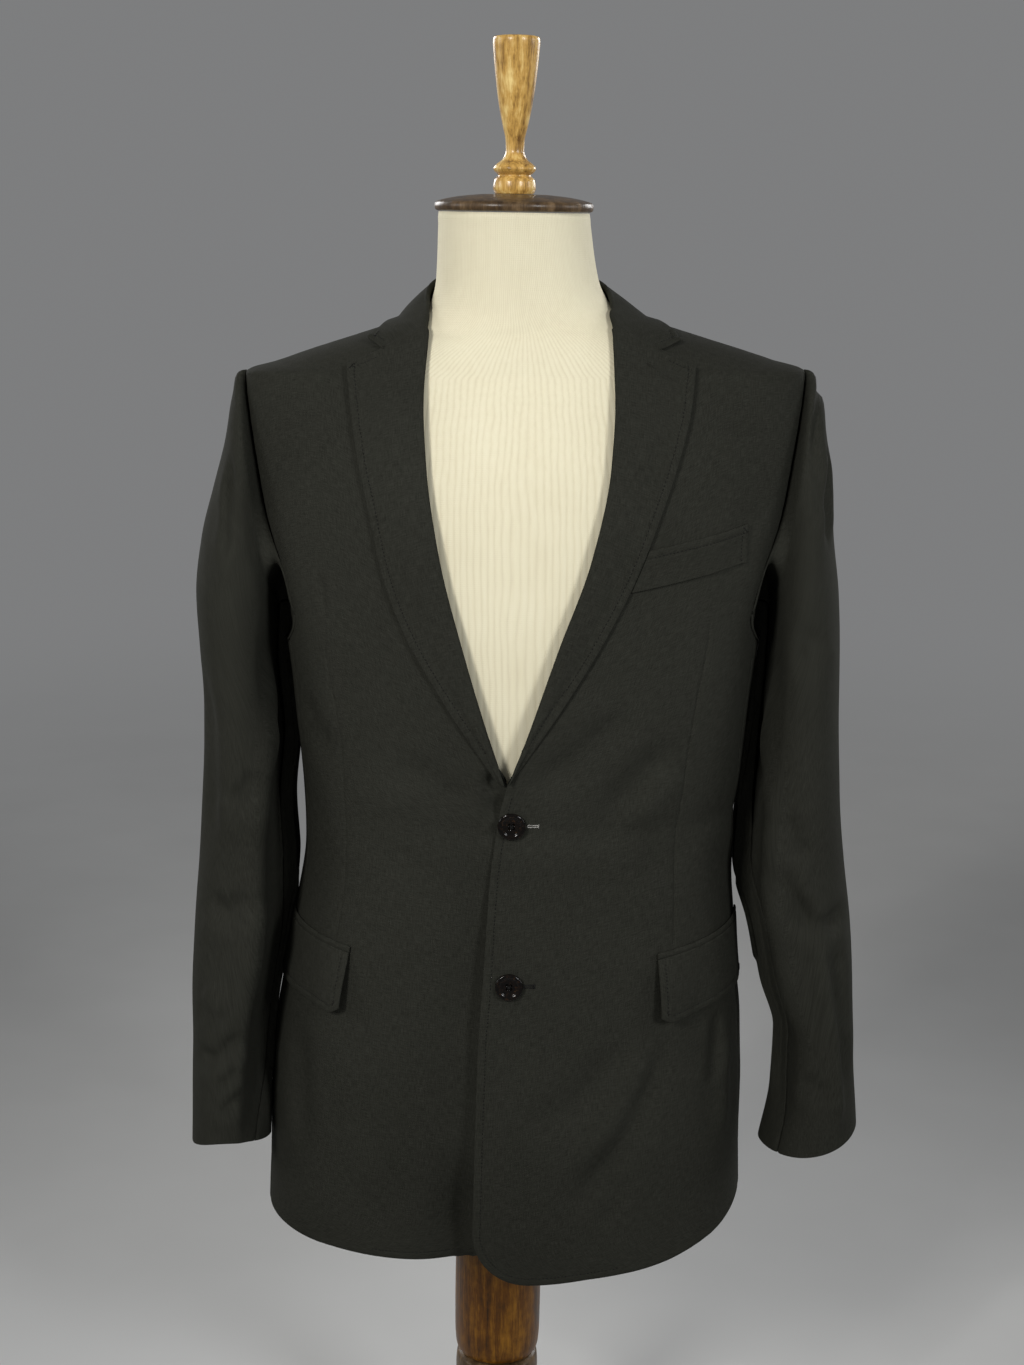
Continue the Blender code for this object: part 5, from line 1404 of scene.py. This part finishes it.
FORM_SIDES = 200
FORM_PITCH = 0.005
FORM_TOP_Z = CAP_Z - 0.0003
NECK_ROLL_Z = 1.169  # the cover's turned edge under the cap
JERSEY_GIRTH = 0.1  # metres of jersey for each radian round the form


def make_form():
    levels = row_levels(FORM_BOTTOM_Z, FORM_TOP_Z, (SHOULDER_TIP_Z,), FORM_PITCH)
    angles = np.linspace(-180.0, 180.0, FORM_SIDES, endpoint=False)
    a, z = np.broadcast_arrays(angles[None, :], levels[:, None])
    grid = surface(a, z, -form_inset(z))
    normals = surface_normal(a, z)
    fade = between(z, FORM_BOTTOM_Z, FORM_BOTTOM_Z + 0.01, 1.16, 1.17)
    height = np.minimum(fold_height(grid, normals, FORM_FOLDS, ring_point), 0.0) * fade
    points = worn(grid + normals * (height + 0.0006 * bell(z - NECK_ROLL_Z, 0.0022))[..., None])
    points[0, :, 2] = FORM_BOTTOM_Z
    points[-1, :, 2] = FORM_TOP_Z
    cloth = np.stack([np.radians(a) * JERSEY_GIRTH, z, 0.0 * z], -1)
    faces = round_faces(len(levels), FORM_SIDES, True)
    thing = make_object("jersey_form", points.reshape(-1, 3), faces, cloth.reshape(-1, 3))
    dress(thing, "jersey")
    return thing


# ---- materials -------------------------------------------------------------------------------


class Look:
    """A node material in the making."""

    def __init__(self, name):
        self.material = bpy.data.materials.new(name)
        self.material.use_nodes = True
        self.tree = self.material.node_tree
        self.shader = self.tree.nodes["Principled BSDF"]

    def node(self, kind, inputs=None, **settings):
        made = self.tree.nodes.new("ShaderNode" + kind)
        for key, value in settings.items():
            setattr(made, key, value)
        for key, value in (inputs or {}).items():
            if isinstance(value, bpy.types.NodeSocket):
                self.tree.links.new(value, made.inputs[key])
            else:
                made.inputs[key].default_value = value
        return made

    def place(self):
        return self.node("TexCoord").outputs["Object"]

    def cloth(self):
        """The place on the flat cloth: across and up, in metres."""
        return self.node("Attribute", attribute_name="cloth").outputs["Vector"]

    def maths(self, operation, a, b=0.5):
        return self.node("Math", {0: a, 1: b}, operation=operation).outputs[0]

    def total(self, *terms):
        """The sum of some values, each times its weight."""
        first, *others = (self.maths("MULTIPLY", value, weight) for value, weight in terms)
        for other in others:
            first = self.maths("ADD", first, other)
        return first

    def noise(self, vector, scale, detail=3.0, rough=0.55):
        """Noise at one scale, or at one for each axis."""
        if isinstance(scale, tuple):
            vector = self.node("VectorMath", {0: vector, 1: scale}, operation="MULTIPLY").outputs[0]
            scale = 1.0
        inputs = {"Vector": vector, "Scale": scale, "Detail": detail, "Roughness": rough}
        return self.node("TexNoise", inputs).outputs["Fac"]

    def wave(self, value, wavelength):
        return self.maths("SINE", self.maths("MULTIPLY", value, 2.0 * math.pi / wavelength))

    def ramp(self, factor, *stops):
        made = self.node("ValToRGB", {"Fac": factor})
        line = made.color_ramp
        while len(line.elements) < len(stops):
            line.elements.new(0.5)
        for element, (at, colour) in zip(line.elements, stops):
            element.position = at
            element.color = (*colour, 1.0)
        return made.outputs["Color"]

    def span(self, factor, low, high, start=0.0, end=1.0):
        inputs = {"Value": factor, "From Min": start, "From Max": end, "To Min": low, "To Max": high}
        return self.node("MapRange", inputs).outputs["Result"]

    def finish(self, colour, rough, height, depth, specular, **constants):
        """Joins it to the shader; height is the bump, depth its distance, constants the shader's own."""
        bump = self.node("Bump", {"Height": height, "Distance": depth, "Strength": 1.0}).outputs["Normal"]
        for key, value in {"Base Color": colour, "Roughness": rough, "Normal": bump}.items():
            self.tree.links.new(value, self.shader.inputs[key])
        for key, value in {"Specular_IOR_Level": specular, **constants}.items():
            self.shader.inputs[key.replace("_", " ")].default_value = value
        return self.material


def wool_look():
    look = Look("wool_suiting")
    cloth, place = look.cloth(), look.place()
    across, up = look.node("SeparateXYZ", {0: cloth}).outputs[:2]
    weave = look.maths("MULTIPLY", look.wave(across, 0.00084), look.wave(up, 0.00084))
    threads = look.span(weave, 0.0, 1.0, -1.0, 1.0)
    warp = look.noise(cloth, (1500.0, 130.0, 1.0), 2.0)
    weft = look.noise(cloth, (130.0, 1500.0, 1.0), 2.0)
    slubs = look.maths("ADD", warp, weft)
    grain = look.noise(cloth, (900.0, 900.0, 1.0), 2.0)
    clouds = look.noise(place, 7.0, 4.0)
    tone = look.total((slubs, 0.5), (grain, 0.14), (clouds, 0.22))
    shades = (0.0095, 0.0095, 0.0076), (0.0185, 0.0187, 0.0148), (0.034, 0.0345, 0.028)
    colour = look.ramp(tone, *zip((0.3, 0.58, 0.86), shades))
    spots = look.node("VectorMath", {0: cloth, 1: (34.0, 34.0, 1.0)}, operation="MULTIPLY").outputs[0]
    specks = look.node("TexVoronoi", {"Vector": spots, "Scale": 1.0, "Randomness": 1.0}).outputs["Distance"]
    patches = look.span(look.noise(place, 11.0, 1.0), 0.0, 1.0, 0.6, 0.66)
    lint = look.maths("MULTIPLY", look.span(specks, 1.0, 0.0, 0.0, 0.02), patches)
    mixed = {"Factor": lint, "A": colour, "B": (0.16, 0.16, 0.14, 1.0)}
    colour = look.node("Mix", mixed, data_type="RGBA").outputs["Result"]
    height = look.total((threads, 0.35), (slubs, 0.8))
    roughness = look.span(slubs, 0.8, 0.96, 0.6, 1.4)
    return look.finish(colour, roughness, height, 0.00012, 0.05, Sheen_Weight=0.0)


def thread_look(name, twists, dark, light, gloss, depth, specular):
    """Twisted thread; dark and light are a place on the ramp and a colour."""
    look = Look(name)
    twist = look.noise(look.place(), twists, 2.0)
    return look.finish(look.ramp(twist, dark, light), look.span(twist, *gloss), twist, depth, specular)


def jersey_look():
    look = Look("jersey_cover")
    cloth, place = look.cloth(), look.place()
    around, up = look.node("SeparateXYZ", {0: cloth}).outputs[:2]
    waver = look.maths("MULTIPLY", look.noise(place, (30.0, 30.0, 12.0), 2.0), 0.004)
    ribs = look.maths("ABSOLUTE", look.wave(look.maths("ADD", around, waver), 0.0046), 0.0)
    loops = look.wave(up, 0.0016)
    fuzz = look.noise(place, 900.0, 3.0)
    streak = look.noise(place, (420.0, 420.0, 26.0), 3.0)
    stain = look.noise(place, 9.0, 4.0)
    tone = look.total((ribs, 0.22), (stain, 0.5), (streak, 0.28))
    shades = (0.68, 0.61, 0.43), (0.8, 0.74, 0.545), (0.86, 0.81, 0.62)
    colour = look.ramp(tone, *zip((0.2, 0.55, 0.85), shades))
    height = look.total((ribs, 0.7), (loops, 0.14), (fuzz, 0.3))
    sheen = {"Sheen_Weight": 0.1, "Sheen_Roughness": 0.5}
    return look.finish(colour, look.span(fuzz, 0.78, 0.94), height, 0.00022, 0.25, **sheen)


def wood_look(name, shades, streak_z, gloss, coat):
    """Turned wood; shades are its dark, middle and light colour, gloss its least and most roughness."""
    look = Look(name)
    place = look.place()
    streaks = look.noise(place, (190.0, 190.0, streak_z), 5.0, 0.62)
    mottle = look.noise(place, (46.0, 46.0, 34.0), 5.0, 0.65)
    pores = look.noise(place, (900.0, 900.0, 90.0), 2.0)
    tone = look.total((streaks, 0.5), (mottle, 0.5), (look.maths("SUBTRACT", pores, 0.5), 0.22))
    colour = look.ramp(tone, *zip((0.34, 0.5, 0.66), shades))
    height = look.total((pores, 0.5), (streaks, 0.5))
    varnish = {"Coat_Weight": coat, "Coat_Roughness": 0.18}
    return look.finish(colour, look.span(mottle, *gloss, 0.3, 0.7), height, 0.00025, 0.25, **varnish)


def horn_look():
    look = Look("horn")
    place = look.place()
    cells = look.noise(place, (430.0, 430.0, 430.0), 4.0, 0.7)
    shades = (0.0026, 0.0019, 0.0016), (0.0085, 0.0048, 0.0028), (0.085, 0.038, 0.011)
    colour = look.ramp(cells, *zip((0.48, 0.62, 0.8), shades))
    fine = look.noise(place, 1400.0, 2.0)
    polish = {"Coat_Weight": 0.25, "Coat_Roughness": 0.1}
    return look.finish(colour, look.span(cells, 0.07, 0.18), fine, 0.00002, 0.13, **polish)


SILK = ((2600.0, 2600.0, 2600.0), (0.3, (0.0022, 0.0022, 0.002)), (0.8, (0.0075, 0.0075, 0.0065)))
# pale thread for the upper buttonhole: a painted highlight on its dark silk
PAINTED_GLINT = ((900.0, 2600.0, 2600.0), (0.35, (0.03, 0.03, 0.028)), (0.6, (0.42, 0.41, 0.38)))
HONEY = ((0.11, 0.045, 0.008), (0.62, 0.36, 0.09), (0.95, 0.71, 0.28))
# the honey wood darkened for the post and base: partly painted shade of the coat above, partly a deeper
# brown
SHADED_HONEY = ((0.018, 0.007, 0.001), (0.105, 0.038, 0.0015), (0.25, 0.11, 0.008))
DARK = ((0.03, 0.017, 0.009), (0.08, 0.048, 0.022), (0.19, 0.12, 0.06))
LOOKS = {  # material and slot
    "wool": (wool_look(), "suiting"),
    "silk": (thread_look("silk_thread", *SILK, (0.5, 0.7), 0.00012, 0.2), "suiting"),
    "painted_glint": (thread_look("painted_glint_thread", *PAINTED_GLINT, (0.25, 0.4), 0.00008, 0.6), "suiting"),
    "jersey": (jersey_look(), "jersey"),
    "honey": (wood_look("honey_wood", HONEY, 16.0, (0.26, 0.42), 0.35), "honey_wood"),
    "shaded_honey": (wood_look("shaded_honey_wood", SHADED_HONEY, 12.0, (0.28, 0.46), 0.08), "honey_wood"),
    "dark": (wood_look("dark_wood", DARK, 30.0, (0.3, 0.5), 0.12), "dark_wood"),
    "horn": (horn_look(), "horn"),
}


def dress(thing, look):
    """Gives a piece its material, and lets it ride."""
    material, slot = LOOKS[look]
    thing.data.materials.append(material)
    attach(thing, "root")


# ---- build -----------------------------------------------------------------------------------

# radius, height
STAND = {
    "neck_cap": ("dark", (
        (0.06, 1.1723), (0.0622, 1.1735), (0.0628, 1.176), (0.062, 1.1788), (0.056, 1.1812),
        (0.042, 1.1838), (0.026, 1.1854),
    )),
    "finial": ("honey", (
        (0.015, 1.1857), (0.0168, 1.19), (0.016, 1.1965), (0.0128, 1.2), (0.0158, 1.203),
        (0.0168, 1.2052), (0.015, 1.208), (0.0096, 1.2125), (0.0072, 1.219), (0.0076, 1.227),
        (0.01, 1.238), (0.0132, 1.254), (0.016, 1.274), (0.0178, 1.292), (0.0184, 1.301),
        (0.0178, 1.304), (0.015, 1.305),
    )),
    # post and base in the darkened honey wood: partly painted shade, partly a deeper brown
    "post": ("shaded_honey", (
        (0.03, 0.179), (0.0352, 0.183), (0.0368, 0.19), (0.0376, 0.205), (0.0378, 0.24),
        (0.037, 0.3), (0.0345, 0.36), (0.032, 0.4197),
    )),
    "post_ring": ("dark", (
        (0.032, 0.15), (0.0356, 0.153), (0.0364, 0.164), (0.0356, 0.1755), (0.032, 0.1787),
    )),
    "post_lower": ("shaded_honey", (
        (0.034, 0.0303), (0.035, 0.036), (0.03, 0.048), (0.0262, 0.07), (0.0262, 0.11),
        (0.03, 0.14), (0.0318, 0.1497),
    )),
    "base": ("shaded_honey", (
        (0.152, 0.0), (0.155, 0.003), (0.155, 0.014), (0.15, 0.019), (0.142, 0.021),
        (0.09, 0.027), (0.045, 0.03),
    )),
}
# ends as ring angles and heights, lift, how much slimmer than the silk one, look
LAP_FACE = CLOTH + LAP_LIFT
LAPEL_FACE = CLOTH + float(lapel_lift(1.05, 0.6)) + COLLAR_CLOTH
BUTTONHOLES = {
    # the upper buttonhole's thread is painted pale, a painted highlight
    "upper": (((-88.9, 0.705), (-86.8, 0.705)), LAP_FACE, 0.8, "painted_glint"),
    "lower": (((-88.6, 0.5741), (-86.3, 0.5741)), LAP_FACE, 1.0, "silk"),
    "lapel": (((-61.7, 1.056), (-59.3, 1.043)), LAPEL_FACE, 0.55, "wool"),
}


def make_half(side):
    """One side of the blazer with the stitches of its edges."""
    front = make_front(side)
    make_side(side)
    make_back(side)
    make_sleeve(side)
    lapel = make_lapel(side)
    flap, flap_path = make_flap(side)
    make_jet(side)
    edge = np.flatnonzero(front.outer[:, 0, 2] < BREAK_Z - 0.004)[::-1]
    hem = range(1, front.outer.shape[1] // 3)
    threads = stitches(front, np.array([(r, 0) for r in edge] + [(0, c) for c in hem]), 0.004)
    threads += stitches(lapel, lapel_path(lapel.outer, 6), 0.006)
    threads += stitches(flap, flap_path, 0.004)
    sewn("thread_edges_" + side, threads, "silk", side)


for side in SIDES:
    make_half(side)
collar, one_end, other_end = make_collar()
welt, welt_path = make_welt()
sewn("thread_collar", stitches(collar, one_end, 0.002) + stitches(collar, other_end, 0.002), "silk")
sewn("thread_welt", stitches(welt, welt_path, 0.003), "silk")
for name, (ends, lift, slim, look) in BUTTONHOLES.items():
    buttonhole(ends, lift, "thread_hole_" + name, slim, look)

for name, made in shells.items():
    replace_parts(made.thing, name.replace("cloth_", ""))
for name in BUTTONS:
    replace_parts(make_button(name), "button_" + name)
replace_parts(make_form(), "dress_form")
for name, (look, profile) in STAND.items():
    piece = turned("wood_" + name, profile, look, sides=128 if name == "base" else 96)
    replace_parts(piece, name)


# what shows of each piece of cloth, laid flat: width, length, area, how it is held, what it rests on
CUTS = {
    "front_left": (0.28, 0.88, 0.1735, "hung", ("jersey_form",)),
    "front_right": (0.28, 0.89, 0.164, "hung", ("jersey_form",)),
    "side_left": (0.116, 0.505, 0.0505, "hung", ("jersey_form",)),
    "side_right": (0.116, 0.516, 0.052, "hung", ("jersey_form",)),
    "back_left": (0.26, 0.877, 0.1525, "hung", ("jersey_form",)),
    "back_right": (0.26, 0.889, 0.1535, "hung", ("jersey_form",)),
    "top_sleeve_left": (0.4, 0.65, 0.148, "hung", ("cloth_front_left", "cloth_back_left")),
    "top_sleeve_right": (0.4, 0.655, 0.148, "hung", ("cloth_front_right", "cloth_back_right")),
    "under_sleeve_left": (0.177, 0.535, 0.0355, "hung", ("cloth_side_left",)),
    "under_sleeve_right": (0.177, 0.535, 0.035, "hung", ("cloth_side_right",)),
    "lapel_left": (0.09, 0.376, 0.0153, "folded", ("cloth_front_left",)),
    "lapel_right": (0.088, 0.376, 0.0168, "folded", ("cloth_front_right",)),
    "collar": (0.091, 0.41, 0.0278, "folded", ("cloth_back_left", "cloth_back_right")),
    "flap_left": (0.131, 0.0505, 0.0064, "hung", ("cloth_front_left",)),
    "flap_right": (0.1125, 0.0505, 0.0055, "hung", ("cloth_front_right",)),
    "jet_left": (0.13, 0.01, 0.00063, "laid", ("cloth_front_left",)),
    "jet_right": (0.1115, 0.01, 0.00054, "laid", ("cloth_front_right",)),
    "breast_welt": (0.104, 0.0345, 0.0028, "laid", ("cloth_front_left",)),
}
for name, (width, length, area, held, rests_on) in CUTS.items():
    piece = shells["cloth_" + name].thing


# ---- studio ----------------------------------------------------------------------------------

STUDIO_GREY = (0.205, 0.207, 0.21, 1.0)  # the light of the empty studio
FLOOR_BLEND = (1.3, 4.6)  # between these distances the floor turns into the studio's light
FLOOR_RIM = 14.0
# place, target's height, size, power, spread in degrees, colour
LIGHTS = {
    "key": ((-1.7, -2.85, 2.3), 0.92, 0.8, 3.3, 40.0, (1.0, 0.985, 0.95)),
    "window": ((-1.5, -2.3, 2.2), 0.65, 0.12, 0.27, 30.0, (1.0, 1.0, 1.0)),
    "fill": ((2.0, -2.7, 2.2), 0.92, 0.8, 2.9, 40.0, (0.97, 0.985, 1.0)),
    "side_left": ((-3.3, 0.0, 1.7), 0.85, 1.2, 1.5, 42.0, (1.0, 1.0, 1.0)),
    "side_right": ((3.3, 0.0, 1.7), 0.85, 1.2, 1.5, 42.0, (1.0, 1.0, 1.0)),
    "back_left": ((-1.9, 3.0, 1.9), 0.85, 1.2, 3.4, 42.0, (1.0, 1.0, 1.0)),
    "back_right": ((2.1, 2.8, 1.8), 0.85, 1.2, 2.6, 42.0, (1.0, 1.0, 1.0)),
}
CAMERA_PLACE = (0.0042, -1.66, 1.175)
CAMERA_DROP = 13.03  # degrees below the horizon
CAMERA_ROLL = 0.9
FOCAL_PIXELS = 2050.0
PICTURE_PIXELS = 1365.0  # the photograph's height
SENSOR = 36.0

scene = bpy.context.scene


def make_floor():
    rim = FLOOR_RIM
    mesh = bpy.data.meshes.new("floor")
    corners = [(-rim, -rim, 0.0), (rim, -rim, 0.0), (rim, rim, 0.0), (-rim, rim, 0.0)]
    mesh.from_pydata(corners, [], [(0, 1, 2, 3)])
    floor = bpy.data.objects.new("floor", mesh)
    look = Look("floor_paint")
    place = look.place()
    cloud = look.noise(place, 3.0, 3.0)
    colour = look.ramp(cloud, (0.3, (0.7, 0.7, 0.69)), (0.7, (0.75, 0.75, 0.74)))
    mesh.materials.append(look.finish(colour, look.span(cloud, 0.7, 0.8), cloud, 0.0002, 0.2))
    away = look.node("VectorMath", {0: place}, operation="LENGTH").outputs["Value"]
    blend = {"Value": away, "From Min": FLOOR_BLEND[0], "From Max": FLOOR_BLEND[1]}
    far = look.node("MapRange", blend, interpolation_type="SMOOTHERSTEP").outputs["Result"]
    glow = look.node("Emission", {"Color": STUDIO_GREY, "Strength": 1.0}).outputs[0]
    both = look.node("MixShader", {0: far, 1: look.shader.outputs[0], 2: glow}).outputs[0]
    look.tree.links.new(both, look.tree.nodes["Material Output"].inputs["Surface"])
    scene.collection.objects.link(floor)


def make_light(name, place, target_z, size, power, spread, colour):
    data = bpy.data.lights.new(name, "AREA")
    data.shape = "SQUARE"
    data.size = size
    data.spread = math.radians(spread)
    data.energy = power
    data.color = colour
    lamp = bpy.data.objects.new(name, data)
    lamp.location = place
    lamp.visible_camera = False
    lamp.rotation_mode = "QUATERNION"
    lamp.rotation_quaternion = (Vector((0.0, 0.0, target_z)) - Vector(place)).to_track_quat("-Z", "Y")
    scene.collection.objects.link(lamp)


def make_camera():
    data = bpy.data.cameras.new("camera")
    data.lens = FOCAL_PIXELS / PICTURE_PIXELS * SENSOR
    data.sensor_width = SENSOR
    camera = bpy.data.objects.new("camera", data)
    tilt = Matrix.Rotation(math.radians(90.0 - CAMERA_DROP), 4, "X")
    roll = Matrix.Rotation(math.radians(CAMERA_ROLL), 4, "Z")
    camera.matrix_world = Matrix.Translation(CAMERA_PLACE) @ (tilt @ roll)
    scene.collection.objects.link(camera)
    scene.camera = camera


make_floor()
for name, settings in LIGHTS.items():
    make_light(name, *settings)
make_camera()
world = bpy.data.worlds.new("studio")
world.use_nodes = True
background = world.node_tree.nodes["Background"]
background.inputs["Color"].default_value = STUDIO_GREY
background.inputs["Strength"].default_value = 1.0
scene.world = world
scene.view_settings.view_transform = "Standard"
